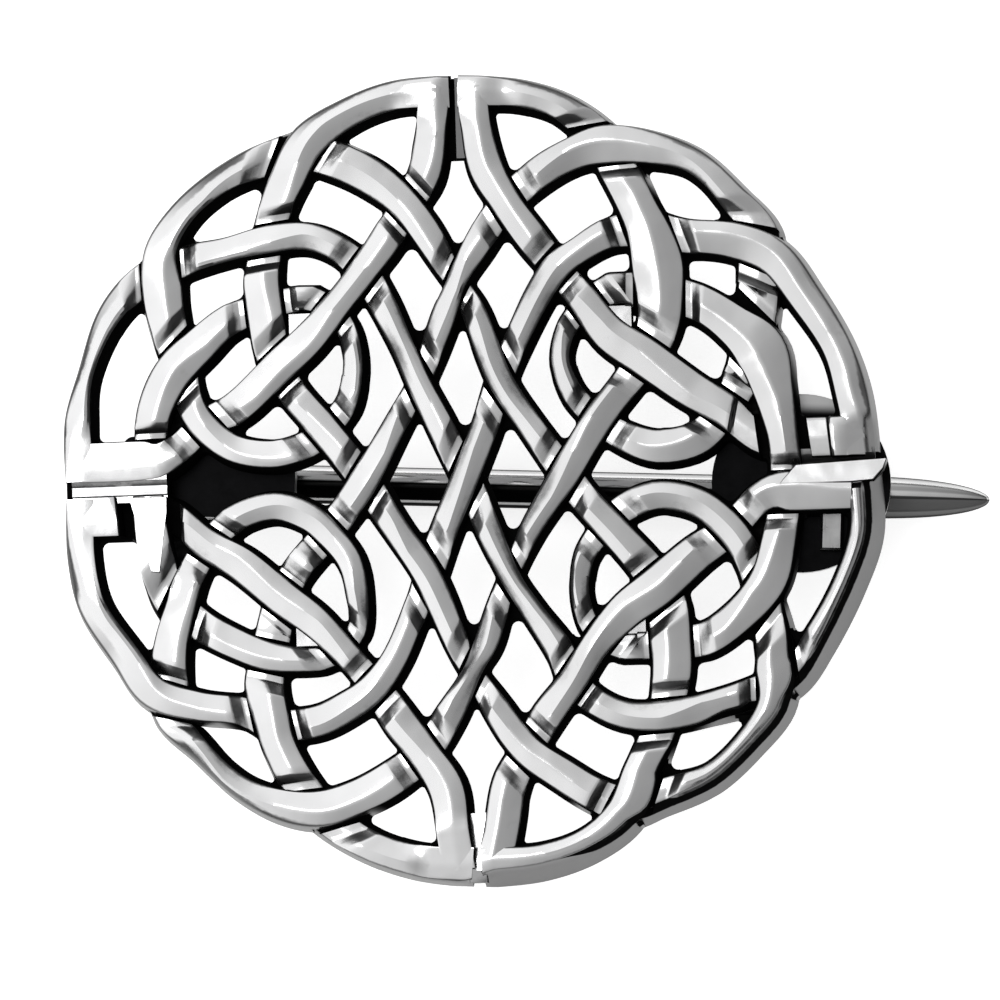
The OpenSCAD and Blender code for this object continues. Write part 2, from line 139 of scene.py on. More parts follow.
# the pattern is hand cut and not quite even: x, y on the whole disc, shift in
# x, shift in y, extra width
UNEVEN = [
  # right-top
  [  8.5,  16.3, -0.1, -0.2,  0.0], [  8.5,  14.3, -0.3, -0.1,  0.4],
  [ 11.0,  15.4,  0.1,  0.2,  0.0], [ 13.0,  14.3, -0.3, -0.3,  0.0],
  [ 11.8,  11.8,  0.0, -0.2,  0.1], [ 13.8,  11.2,  0.0,  0.0,  0.4],
  [ 17.1,   8.5, -0.4, -0.3,  0.2], [ 18.6,   5.8, -0.2,  0.0,  0.0],
  [ 14.9,   9.8, -0.2,  0.0,  0.1], [ 14.4,   5.6,  0.3,  0.1,  0.8],
  [  9.6,  10.2, -0.1,  0.0,  0.8], [  9.7,   7.3,  0.4,  0.0,  0.4],
  [  6.5,  11.8, -0.1, -0.5, -0.2], [  7.6,   6.5, -0.4, -0.4,  0.0],
  [  5.5,   5.2, -0.5,  0.0, -0.2], [  6.3,   2.7, -0.2,  0.1,  0.0],
  [  2.3,   4.8, -0.4,  0.0,  0.0], [  3.5,   2.5, -0.2, -0.1,  0.0],
  [  0.9,   9.6, -0.2,  0.0,  0.0], [  1.4,  16.8, -0.3,  0.0,  0.0],
  # left-top
  [ -3.8,  18.8,  0.0,  0.1,  0.1], [ -7.5,  16.8, -0.2,  0.2,  0.1],
  [ -5.3,  15.5,  0.0,  0.0,  0.3], [ -9.2,  13.8, -0.2,  0.0,  0.1],
  [-12.5,  14.5,  0.1, -0.1,  0.1], [-14.6,   9.0,  0.3,  0.0,  0.2],
  [-17.2,   9.2, -0.2,  0.2, -0.2], [-18.1,   6.3,  0.0,  0.0, -0.6],
  [-15.2,   4.5, -0.2,  0.0,  0.1], [-12.8,   6.4,  0.2, -0.1,  0.2],
  [ -6.8,  11.7,  0.1,  0.1, -0.2], [-10.9,  11.6,  0.0,  0.1, -0.2],
  [-11.2,   4.0,  0.1, -0.2, -0.1], [-12.8,   2.8, -0.2,  0.3,  0.0],
  [ -9.4,   1.7,  0.0,  0.2,  0.0], [ -8.3,   4.8, -0.2, -0.1,  0.0],
  [ -5.3,   7.0, -0.1,  0.0, -0.1], [ -1.4,  10.3, -0.1,  0.0,  0.1],
  [ -2.2,   4.8,  0.0,  0.0, -0.2], [ -1.8,  12.8, -0.2,  0.0,  0.0],
  [ -1.4,  16.8,  0.2,  0.0,  0.0],
  # left-bottom
  [ -4.0, -18.8,  0.0,  0.3,  0.2], [ -7.5, -16.9, -0.2,  0.3,  0.0],
  [-10.5, -16.0,  0.1,  0.3, -0.1], [ -8.8, -13.8, -0.6, -0.1,  0.1],
  [-13.0, -14.0,  0.4,  0.5, -0.3], [-12.0, -11.5,  0.0,  0.7,  0.0],
  [ -6.5, -11.6,  0.0,  0.5,  0.1], [-17.4,  -8.8,  0.3,  0.3,  0.0],
  [-14.8, -10.6, -0.1,  0.2,  0.0], [-15.3,  -4.5, -0.2,  0.0,  0.1],
  [-14.0,  -6.5, -0.3,  0.1,  0.0], [-11.7,  -8.0,  0.1,  0.5,  0.0],
  [ -9.9, -10.0, -0.7,  0.0,  0.1], [ -7.7,  -9.2,  0.0,  0.8,  0.0],
  [ -9.3,  -1.6,  0.0,  0.2,  0.0], [ -8.3,  -4.8, -0.3,  0.2,  0.0],
  [ -5.4,  -6.4, -0.4,  0.1,  0.1], [ -3.3,  -7.3,  0.3,  0.0, -0.1],
  [ -2.2,  -4.6,  0.2,  0.0,  0.1], [ -3.6, -12.3, -0.2,  0.0,  0.1],
  [ -6.3,  -8.4,  0.0,  0.0, -0.4], [ -3.9,  -9.0,  0.1,  0.0, -0.1],
  [ -4.4, -15.0, -0.1,  0.2,  0.2],
  # right-bottom
  [  5.0, -18.6,  0.1, -0.1,  0.2], [  9.5, -16.1, -0.1,  0.2,  0.0],
  [  8.5, -14.3, -0.2,  0.1,  0.1], [  4.5, -15.1,  0.2,  0.2,  0.0],
  [ 13.4, -13.6, -0.2,  0.3,  0.0], [ 11.4, -11.6,  0.0, -0.3,  0.0],
  [ 17.4,  -8.5, -0.2,  0.1,  0.0], [ 14.9, -10.6,  0.2, -0.1,  0.0],
  [ 12.9,  -7.5,  0.0, -0.3,  0.1], [ 14.1,  -5.8,  0.4,  0.1,  0.0],
  [ 13.3, -10.9,  0.0,  0.2,  0.2], [  7.3, -16.8,  0.1, -0.2,  0.1],
  [ 15.9, -10.2, -0.2,  0.1,  0.0], [ 12.2,  -4.3,  0.1, -0.2,  0.1],
  [  7.9,  -9.2,  0.0,  0.7,  0.0],
  [  6.7, -11.5,  0.0,  0.1, -0.2], [ 10.0,  -7.0,  0.3,  0.1,  0.4],
  [  8.3,  -4.8,  0.3,  0.1,  0.2], [  9.5,  -1.6,  0.0,  0.1,  0.0],
  [  5.5,  -5.5,  0.2,  0.0, -0.2], [  3.6,  -8.6,  0.5,  0.2,  0.0],
  [  2.6,  -4.6, -0.2, -0.1, -0.4], [  3.7,  -2.5, -0.4, -0.1, -0.1],
  [  1.7, -12.8,  0.2,  0.0,  0.0], [ 17.8,  -1.4,  0.0,  0.2,  0.2],
  [ 19.6,  -2.2,  0.5,  0.0,  0.0], [ 19.4,   1.6,  0.4,  0.0,  0.0],
  [ 10.6,   1.4,  0.0, -0.2,  0.4], [ 18.7,   3.6, -0.2,  0.0,  0.4],
  [ 19.7,  -0.4,  0.6,  0.0,  0.0], [  1.3, -18.0, -0.1,  0.0,  0.3],
  [ -1.2, -18.4,  0.06, 0.0,  0.12], [ -1.4, -16.3,  0.3,  0.0,  0.0]]

# places where the ridge lies off the middle: x, y, shift in x, shift in y
OFF_RIDGE = [
  [17.2, -1.4, 0.0, 0.5], [-17.6, 1.6, 0.0, -0.3], [19.2, -0.6, 0.28, 0.0],
  [19.2, 0.8, 0.28, 0.0], [-19.2, 5.0, 0.5, 0.0], [-19.0, -5.0, 0.5, 0.0],
  [-17.8, 8.8, 0.4, -0.2], [-17.6, -8.8, 0.4, 0.3], [-1.2, 17.6, 0.4, 0.0],
  [1.2, 17.6, 0.1, 0.0], [1.2, -18.0, -0.2, 0.0], [-17.6, -1.6, 0.0, -0.3],
  [19.0, -6.0, -0.4, 0.1], [17.8, -10.0, -0.4, 0.3],
  [14.0, -14.0, -0.3, 0.3], [-14.2, 13.0, 0.4, -0.4]]

# places where two strands have been filed to even faces: x from, x to, y from,
# y to, soft margins at the four ends, relief left over, and the faces, each as
# the place and height of one point and the slopes in x and y; the lowest counts
FLATS = [
  [-20.8, -14.3, -5.6, 3.4, (0.6, 0.6, 0.9, 0.9), 0.10, [(-18.2, 0.0, 2.11, 0.013, 0.004)]],
  [-3.2, 0.0, 17.0, 20.8, (0.9, 0.1, 0.9, 0.6), 0.15,
   [(-1.5, 18.5, 2.14, 0.02, -0.03), (-0.8, 18.5, 2.14, -0.5, 0.0)]],
  [0.0, 3.4, 17.0, 20.8, (0.1, 1.2, 0.9, 0.6), 0.20,
   [(0.7, 18.5, 2.14, 0.03, -0.03), (1.2, 18.5, 2.16, -0.22, 0.0)]],
  [-3.4, 0.35, -20.8, -16.4, (0.8, 0.3, 0.6, 0.8), 0.12, [(-1.0, -18.7, 2.0, 0.0, 0.12)]],
  [17.0, 21.0, -0.2, 2.5, (0.6, 0.2, 0.2, 0.7), 0.12, [(19.0, 1.0, 1.98, -0.36, 0.0)]]]

# places where nothing stands higher: x from, x to, y from, y to, height
LOWER = [
  [-16.9, -14.3, -0.36, 0.30, 1.6], [18.92, 21.3, -1.1, 0.4, 1.8]]

# small filed faces: outline, then x, y and height of one place and the slopes
SLABS = [
  ([(-16.62, -0.45), (-15.6, -4.15), (-15.2, -4.2), (-14.75, -1.2), (-14.75, -0.45)],
   (-15.6, -2.0, 2.17, 0.012, 0.0)),
  ([(-16.36, -2.4), (-15.83, -4.35), (-15.47, -4.35), (-16.0, -2.4)], (-16.0, -3.0, 1.0, 0.0, 0.0)),
  ([(15.4, -0.9), (18.9, -0.95), (20.0, -0.85), (20.5, -0.3), (20.68, 0.16), (16.2, -0.02)],
   (18.6, -0.9, 2.18, 0.0, -0.16)),
  ([(-0.5, -19.2), (-0.4, -19.9), (0.45, -19.9), (0.45, -19.2)],
   (0.0, -19.3, 1.70, -0.2, 0.35))]

TABLES = [RIM, LINK, SWEEP, TAIL, INNER, BROW]
QUARTERS = [(1, 1), (-1, 1), (-1, -1), (1, -1)]
UN = np.array(UNEVEN, float)


def added(x, y):
    """shift in x, shift in y and extra width that UNEVEN gives at a place"""
    w = np.exp(-((x - UN[:, 0]) ** 2 + (y - UN[:, 1]) ** 2) / REACH ** 2)
    return (w[:, None] * UN[:, 2:5]).sum(0) / max(1.0, w.sum())


def spot(x, y, q):
    mx, my = x * QUARTERS[q][0], y * QUARTERS[q][1]
    a = added(mx, my)
    return np.array([mx + a[0], my + a[1]])


def rows(s, q):
    out = []
    for x, y, w in TABLES[s]:
        mx, my = x * QUARTERS[q][0], y * QUARTERS[q][1]
        a = added(mx, my)
        if s == inner and q == 3 and x > 19:
            mx = 18.9 - a[0]            # here the bars end short of the stepped rim
        if s == inner and q == 3 and y > 19:
            my = -18.75 - a[1]
        out.append((mx + a[0], my + a[1], w + a[2], s, q))
    return out


RUNS = (
    [rows(rim, q) + rows(link, 3 - q)[::-1][1:] + rows(sweep, (q + 2) % 4)[1:] for q in range(4)]
    + [rows(tail, q) + rows(tail, 3 - q)[::-1][1:] for q in range(2)]
    + [rows(inner, q) for q in range(4)]
    + [rows(brow, q) + rows(brow, (q + 2) % 4)[::-1][1:] for q in range(2)])


def between(a, b, c, d, t):
    return 0.5 * (2 * b + (c - a) * t + (2 * a - 5 * b + 4 * c - d) * t * t
                  + (3 * b - a - 3 * c + d) * t ** 3)


def centre_line(run, step=0.05):
    """the run as evenly spaced samples: x, y, width, strand, quarter, length"""
    p = np.array([r[:3] for r in run], float)
    m = len(p) - 1
    pts, tags = [], []
    for i in range(m):
        a, b, c, d = p[max(i - 1, 0)], p[i], p[i + 1], p[min(i + 2, m)]
        n = max(4, int(np.hypot(*(c - b)[:2]) / step))
        for j in range(n):
            pts.append(between(a, b, c, d, j / n))
            tags.append(run[i][3:5])
    pts.append(p[m])
    tags.append(run[m][3:5])
    pts, tags = np.array(pts), np.array(tags)
    s = np.concatenate([[0], np.cumsum(np.hypot(*np.diff(pts[:, :2], axis=0).T))])
    n = int(s[-1] / step)
    t = np.linspace(0, s[-1], n + 1)
    at = np.clip(np.searchsorted(s, t, side="right") - 1, 0, len(s) - 1)
    return dict(
        xy=np.stack([np.interp(t, s, pts[:, 0]), np.interp(t, s, pts[:, 1])], 1),
        w=np.interp(t, s, pts[:, 2]), tag=tags[at], s=t)


LINES = [centre_line(r) for r in RUNS]
for ln in LINES:
    d = np.gradient(ln["xy"], axis=0)
    ln["u"] = d / np.linalg.norm(d, axis=1)[:, None]
    ln["n"] = np.stack([-ln["u"][:, 1], ln["u"][:, 0]], 1)


def find_dips():
    """where each run passes under another: distance to the upper strand's
    middle, that strand's direction and its half width, sample by sample"""
    for ln in LINES:
        k = len(ln["s"])
        ln["gap"] = np.full(k, 99.0)
        ln["over_t"] = np.zeros((k, 2))
        ln["over_w"] = np.full(k, 0.95)
        ln["strip"], ln["slope"], ln["lip"] = np.full(k, 0.2), np.full(k, 0.55), np.full(k, 0.07)
    for c in CROSSINGS:
        for q in range(4):
            if c[2 + q] == none:
                continue
            p = spot(c[0], c[1], q)
            rng = np.random.RandomState(int(c[0] * 31 + c[1] * 7) * 4 + q)
            shape = (rng.uniform(0.12, 0.34), rng.uniform(0.42, 0.75), 0.07)
            if c[0] == 15.6 and q == 0:
                shape = (1.26, 0.12, -0.30)     # wide step beside the right bar
            if c[0] == 15.6 and q == 2:
                shape = (0.56, 0.08, -0.50)     # open slot beside the left bar
            near = []
            for i, ln in enumerate(LINES):
                d = np.hypot(*(ln["xy"] - p).T)
                mine = (ln["tag"][:, 0] == c[2 + q]) & (ln["tag"][:, 1] == q)
                if (mine & (d < 1.2)).any():
                    k = int(np.argmin(np.where(mine, d, 99)))
                    near.append((i, k, ln["s"][k]))
            for i, k, s0 in near:
                best = None
                for j, other in enumerate(LINES):
                    d = np.hypot(*(other["xy"] - LINES[i]["xy"][k]).T)
                    if j == i:
                        d = np.where(np.abs(other["s"] - s0) < 3.5, 99, d)
                    under = (other["tag"][:, 0] == c[2 + q]) & (other["tag"][:, 1] == q)
                    # at the ring's crossing both lower strands give way to the inner one
                    if abs(c[0] - 6.1) < 0.1:
                        under = other["tag"][:, 0] != inner
                    d = np.where(under, 99, d)
                    m = int(np.argmin(d))
                    if best is None or d[m] < best[0]:
                        best = (d[m], j, m)
                if best is None or best[0] > 1.3:
                    continue
                o = LINES[best[1]]
                at, t, w = o["xy"][best[2]], o["u"][best[2]], o["w"][best[2]]
                ln = LINES[i]
                close = np.abs(ln["s"] - s0) < 4.2
                # distance to the upper strand's middle, along this strand
                side = np.array([-t[1], t[0]])
                g = np.abs((ln["xy"] - at) @ side)
                take = close & (g < ln["gap"])
                ln["gap"] = np.where(take, g, ln["gap"])
                ln["over_t"][take] = t
                ln["over_w"][take] = w / 2
                for key, v in zip(("strip", "slope", "lip"), shape):
                    ln[key][take] = v


find_dips()


def ease(x, lo, hi):
    v = np.clip((x - lo) / (hi - lo), 0, 1)
    return v * v * (3 - 2 * v)


def ramp(x, r):
    return np.where(x < -r, 0, np.where(x > r, x, (x + r) ** 2 / (4 * r)))


def cuts(seed, s, size):
    """straight runs between uneven stations, as a hand-cut facet has"""
    rng = np.random.RandomState(seed)
    at, v = [0.0], [rng.uniform(-1, 1)]
    while at[-1] < s[-1]:
        at.append(at[-1] + rng.uniform(1.6, 4.2))
        v.append(rng.uniform(-1, 1))
    y = np.interp(s, at, v)
    k = np.hanning(7)
    return size * np.convolve(np.pad(y, 3, mode="edge"), k / k.sum(), mode="valid")


def filed(x, y):
    """share of the even face at a place, its height and the relief left over"""
    share, height, left = 0.0, 0.0, 0.0
    for x0, x1, y0, y1, soft, rest, planes in FLATS:
        if not (x0 < x < x1 and y0 < y < y1):
            continue
        w = float(ease(x, x0, x0 + soft[0]) * ease(-x, -x1, -x1 + soft[1])
                  * ease(y, y0, y0 + soft[2]) * ease(-y, -y1, -y1 + soft[3]))
        z = min([2.19] + [c + sx * (x - a) + sy * (y - b) for a, b, c, sx, sy in planes])
        z -= 0.9 * max(0.0, math.hypot(x, y) - 19.74)
        share += w
        height += w * z
        left += w * rest
    if share < 1e-6:
        return 0.0, 2.2, 1.0
    return min(share, 1.0), height / share, left / share


def run_mesh(index):
    ln = LINES[index]
    slope = ln["slope"]
    g = ln["gap"] - ln["over_w"] - ln["strip"]
    up = np.clip((ramp(g, 0.05) - ramp(g - slope, 0.07)) / slope, 0, 1)
    h = DIP_H + (STRAND_H - DIP_H) * up
    crown = DIP_CROWN + (CROWN - DIP_CROWN) * up
    # thin groove along the upper strand
    lip = ln["gap"] - ln["over_w"] + ln["lip"]
    open_ = np.clip((lip + 0.05) / 0.05, 0, 1)
    h = np.where(lip < 0, GROOVE_H + (h - GROOVE_H) * open_, h)
    crown = np.where(lip < 0, crown * open_, crown)
    # rings every 0.3 mm, and closer where the top bends
    keep = {0, len(h) - 1}
    keep.update(range(0, len(h), 6))
    for v in (g + 0.05, g, g - 0.05, g - slope / 2, g - slope + 0.07, g - slope, g - slope - 0.08,
              lip, lip + 0.05):
        hit = np.where(np.diff(np.sign(v)) != 0)[0]
        keep.update(int(n) for n in hit[np.abs(v[hit]) < 2])
    for v in (lip, lip + 0.05):
        hit = np.where(np.diff(np.sign(v)) != 0)[0]
        keep.update(int(n) + 1 for n in hit[np.abs(v[hit]) < 2])
    keep = np.array(sorted(v for v in keep if v < len(h)))
    # rings turn to lie along the upper strand near each dip
    b = 1 - np.clip((ln["gap"] - 1.7) / 1.8, 0, 1)
    t = ln["over_t"] * np.sign((ln["over_t"] * ln["n"]).sum(1))[:, None]
    c = np.maximum((t * ln["n"]).sum(1), 0.3)
    shear = np.clip((t * ln["u"]).sum(1) / c, -0.8, 0.8) * b
    lateral = ln["n"] + ln["u"] * shear[:, None]
    off = cuts(11 + index, ln["s"], 0.22)
    x = ln["xy"][:, 0]
    far = ease(np.abs(x), 3.0, 8.0)
    bias = np.where(x < 0, 0.16, -0.12) * far
    off = off + bias * ln["n"][:, 0] - 0.6 * bias * ln["n"][:, 1]
    for x, y, dx, dy in OFF_RIDGE:
        w = np.exp(-((ln["xy"] - (x, y)) ** 2).sum(1) / 6.0)
        off = off * (1 - w) + w * (dx * ln["n"][:, 0] + dy * ln["n"][:, 1])
    lift = {1: cuts(51 + index, ln["s"], 0.13), -1: cuts(91 + index, ln["s"], 0.13)}
    # at the lower right the outer side of the rim falls away in two steps
    r = np.hypot(*ln["xy"].T)
    dot = (ln["xy"] * ln["n"]).sum(1) / r
    ang = np.degrees(np.arctan2(ln["xy"][:, 1], ln["xy"][:, 0]))
    step = (ease(r, 16.0, 17.0) * ease(np.abs(dot), 0.72, 0.92)
            * ease(ang, -93, -87) * (1 - ease(ang, -0.9, -0.3)))
    wall_w = 0.30 + 0.25 * ease(ang, -40, -20) + 0.25 * (1 - ease(ang, -82, -60))
    wall_b = 0.60 + 0.16 * ease(ang, -40, -20) + 0.06 * ease(ang, -12, -6)
    pull = 0.38 + 0.17 * ease(ang, -12, -6)
    verts, ring = [], 0
    for i in keep:
        a = ln["w"][i] / 2
        gg = a - DRAFT
        st = step[i]
        out = 1 if dot[i] > 0 else -1
        ro = float(np.clip(off[i] * up[i], -0.55 * gg, 0.55 * gg))
        ro = ro * (1 - st) - out * pull[i] * gg * st
        hr = h[i]
        prof = {}
        for sgn in (-1, 1):
            back = wall_b[i] * st if sgn == out else 0.0
            low_w = wall_w[i] * st if sgn == out else 0.0
            gs = gg - back            # shoulder, from the middle
            span = gs - sgn * ro      # from shoulder to ridge, on this side
            share = min(max(span / gg, 0.5), 1.25)
            hs = hr - crown[i] * share + lift[sgn][i] * up[i] * (1 - st) * share
            tilt = (hr - hs) / span
            dr = DRAFT + back - low_w
            wx, wz = dr / math.hypot(dr, hs * 0.5), hs * 0.5 / math.hypot(dr, hs * 0.5)
            e, f = 0.11, min(0.15, 0.4 * span)
            bulge = 0.012 * up[i]
            side = [(a, 0.0), (a - DRAFT * 0.5 - low_w, 0.92 if low_w else hs * 0.5),
                    (gs + wx * e, hs - wz * e),
                    (gs + wx * 0.02, hs - wz * 0.02 - 0.006),
                    (gs - 0.035, hs + tilt * 0.035 + 0.004),
                    (gs - e * 1.3, hs + tilt * e * 1.3 + bulge * 0.4),
                    (gs - 0.5 * span, hs + tilt * 0.5 * span + bulge),
                    (sgn * ro + f, hr - tilt * f)]
            prof[sgn] = [(sgn * y, z) for y, z in side]
        mid = [(ro, hr - 0.3 * (hr - prof[1][-1][1] + hr - prof[-1][-1][1]) / 2)]
        section = prof[1] + mid + prof[-1][::-1]
        ring = len(section)
        for y, z in section:
            xy = ln["xy"][i] + lateral[i] * y
            if z > 1.3:
                share, level, left = filed(*xy)
                share *= up[i]
                z = z * (1 - share) + share * (level - left * (hr - z))
                for x0, x1, y0, y1, top in LOWER:
                    if x0 < xy[0] < x1 and y0 < xy[1] < y1:
                        z = min(z, top - 0.2 * (hr - z))
            verts.append((xy[0], xy[1], max(z, 0.0)))
    k = len(keep)
    faces = []
    for i in range(k - 1):
        for j in range(ring):
            a0, a1 = i * ring + j, i * ring + (j + 1) % ring
            faces.append((a0, a1, a1 + ring, a0 + ring))
    faces.append(tuple(range(ring))[::-1])
    faces.append(tuple((k - 1) * ring + j for j in range(ring)))
    feet = [np.array([verts[i * ring + j][:2] for i in range(k)]) for j in (0, ring - 1)]
    return verts, faces, feet


def to_object(name, verts, faces, collection, source=0):
    me = bpy.data.meshes.new(name)
    me.from_pydata([tuple(map(float, v)) for v in verts], [], faces)
    bm = bmesh.new()
    bm.from_mesh(me)
    bmesh.ops.triangulate(bm, faces=[f for f in bm.faces if len(f.verts) > 4])
    bmesh.ops.recalc_face_normals(bm, faces=bm.faces)
    bm.to_mesh(me)
    bm.free()
    mark = me.attributes.new("source", "INT", "FACE")
    for d in mark.data:
        d.value = source
    ob = bpy.data.objects.new(name, me)
    collection.objects.link(ob)
    return ob


def frustum(poly0, poly1, z0, z1):
    """closed prism between two polygons of the same number of points"""
    n = len(poly0)
    verts = [(x, y, z0) for x, y in poly0] + [(x, y, z1) for x, y in poly1]
    faces = [tuple((0, i + 1, i)) for i in range(1, n - 1)]
    faces += [tuple((n, n + i, n + i + 1)) for i in range(1, n - 1)]
    faces += [(i, (i + 1) % n, n + (i + 1) % n, n + i) for i in range(n)]
    return verts, faces


def area2(p):
    x, y = np.array(p).T
    return float(np.dot(x, np.roll(y, -1)) - np.dot(y, np.roll(x, -1)))


def crossings_of(feet):
    """every place where the foot lines of two strands cross"""
    segs = []
    for i, pair in enumerate(feet):
        for side, line in enumerate(pair):
            for j in range(len(line) - 1):
                segs.append((line[j][0], line[j][1], line[j + 1][0], line[j + 1][1], i, side, j))
    s = np.array(segs)
    found = []
    lox, hix = np.minimum(s[:, 0], s[:, 2]), np.maximum(s[:, 0], s[:, 2])
    loy, hiy = np.minimum(s[:, 1], s[:, 3]), np.maximum(s[:, 1], s[:, 3])
    for i in range(len(s)):
        a = s[i]
        m = np.where((lox[i + 1:] <= hix[i]) & (hix[i + 1:] >= lox[i])
                     & (loy[i + 1:] <= hiy[i]) & (hiy[i + 1:] >= loy[i]))[0] + i + 1
        for j in m:
            b = s[j]
            if a[4] == b[4] and a[5] == b[5] and abs(a[6] - b[6]) < 6:
                continue
            r, q = a[2:4] - a[:2], b[2:4] - b[:2]
            den = r[0] * q[1] - r[1] * q[0]
            if abs(den) < 1e-9:
                continue
            d = b[:2] - a[:2]
            t = (d[0] * q[1] - d[1] * q[0]) / den
            v = (d[0] * r[1] - d[1] * r[0]) / den
            if 0 <= t < 1 and 0 <= v < 1:
                found.append((a[:2] + t * r, r / np.linalg.norm(r), q / np.linalg.norm(q),
                              (int(a[4]), int(a[5])), (int(b[4]), int(b[5]))))
    return found


ALL_XY = np.concatenate([ln["xy"] for ln in LINES])
ALL_W = np.concatenate([ln["w"] for ln in LINES])


def fillet(p, ta, tb, side_a, side_b, radius):
    """rounded corner of an opening between two strands"""
    if (np.hypot(*(ALL_XY - p).T) < ALL_W / 2 - 0.12).any():
        return None
    na = np.array([-ta[1], ta[0]]) * (1 if side_a == 0 else -1)
    nb = np.array([-tb[1], tb[0]]) * (1 if side_b == 0 else -1)
    da = ta * (1 if ta @ nb > 0 else -1)
    db = tb * (1 if tb @ na > 0 else -1)
    cos = float(np.clip(da @ db, -1, 1))
    th = math.acos(cos)
    if th < 0.25 or th > 2.7:
        return None
    radius = min(radius, 0.95 * math.tan(th / 2))
    bis = (da + db) / np.linalg.norm(da + db)
    c = p + bis * radius / math.sin(th / 2)
    zf = 0.9
    rings = []
    for r in (radius, radius + DRAFT * zf / (STRAND_H - CROWN)):
        a0 = math.atan2(*(-na)[::-1])
        a1 = math.atan2(*(-nb)[::-1])
        d = (a1 - a0 + math.pi) % (2 * math.pi) - math.pi
        arc = [c + r * np.array([math.cos(a0 + d * t), math.sin(a0 + d * t)])
               for t in np.linspace(0, 1, 9)]
        ring = [p - bis * 0.3, arc[0] - na * 0.16] + arc + [arc[-1] - nb * 0.16]
        rings.append(ring)
    if area2(rings[0]) < 0:
        rings = [[r[0]] + r[:0:-1] for r in rings]
    for ring in rings:
        for i in range(1, len(ring) - 1):
            if area2([ring[0], ring[i], ring[i + 1]]) <= 1e-5:
                return None
    return frustum(rings[0], rings[1], 0.0, zf)


def block(x, y, w, d, z, bevel, taper):
    """low bar with a bevelled top: centre, half sizes, height"""
    def rect(a, b):
        return [(x - a, y - b), (x + a, y - b), (x + a, y + b), (x - a, y + b)]
    levels = [(rect(w, d), 0.0), (rect(w - taper, d - taper), z - bevel),
              (rect(w - taper - bevel, d - taper - bevel), z)]
    verts, faces = [], []
    for r, zz in levels:
        verts += [(px, py, zz) for px, py in r]
    for k in range(2):
        for i in range(4):
            a, b = k * 4 + i, k * 4 + (i + 1) % 4
            faces.append((a, b, b + 4, a + 4))
    faces.append((3, 2, 1, 0))
    faces.append((8, 9, 10, 11))
    return verts, faces


def channel(profile, lo, hi, across):
    """bar of the given profile from lo to hi; across says which way it lies"""
    n = len(profile)
    verts = [(v, e, z) if across == "y" else (e, v, z) for e in (lo, hi) for v, z in profile]
    faces = [(i, (i + 1) % n, n + (i + 1) % n, n + i) for i in range(n)]
    faces += [tuple(range(n)), tuple(range(2 * n - 1, n - 1, -1))]
    return verts, faces


def slab(points, plane):
    """upright prism whose top lies on a sloping plane, its rim a little rounded"""
    x0, y0, z0, sx, sy = plane
    if area2(points) < 0:
        points = points[::-1]
    c = np.array(points).mean(0)
    inner_ = [tuple(np.array(p) + 0.05 * (c - p) / np.linalg.norm(c - p)) for p in points]
    n = len(points)
    verts = [(x, y, 0.0) for x, y in points]
    verts += [(x, y, z0 + sx * (x - x0) + sy * (y - y0) - 0.04) for x, y in points]
    verts += [(x, y, z0 + sx * (x - x0) + sy * (y - y0)) for x, y in inner_]
    faces = [tuple(range(n))[::-1], tuple(range(2 * n, 3 * n))]
    for k in (0, n):
        faces += [(k + i, k + (i + 1) % n, k + n + (i + 1) % n, k + n + i) for i in range(n)]
    return verts, faces


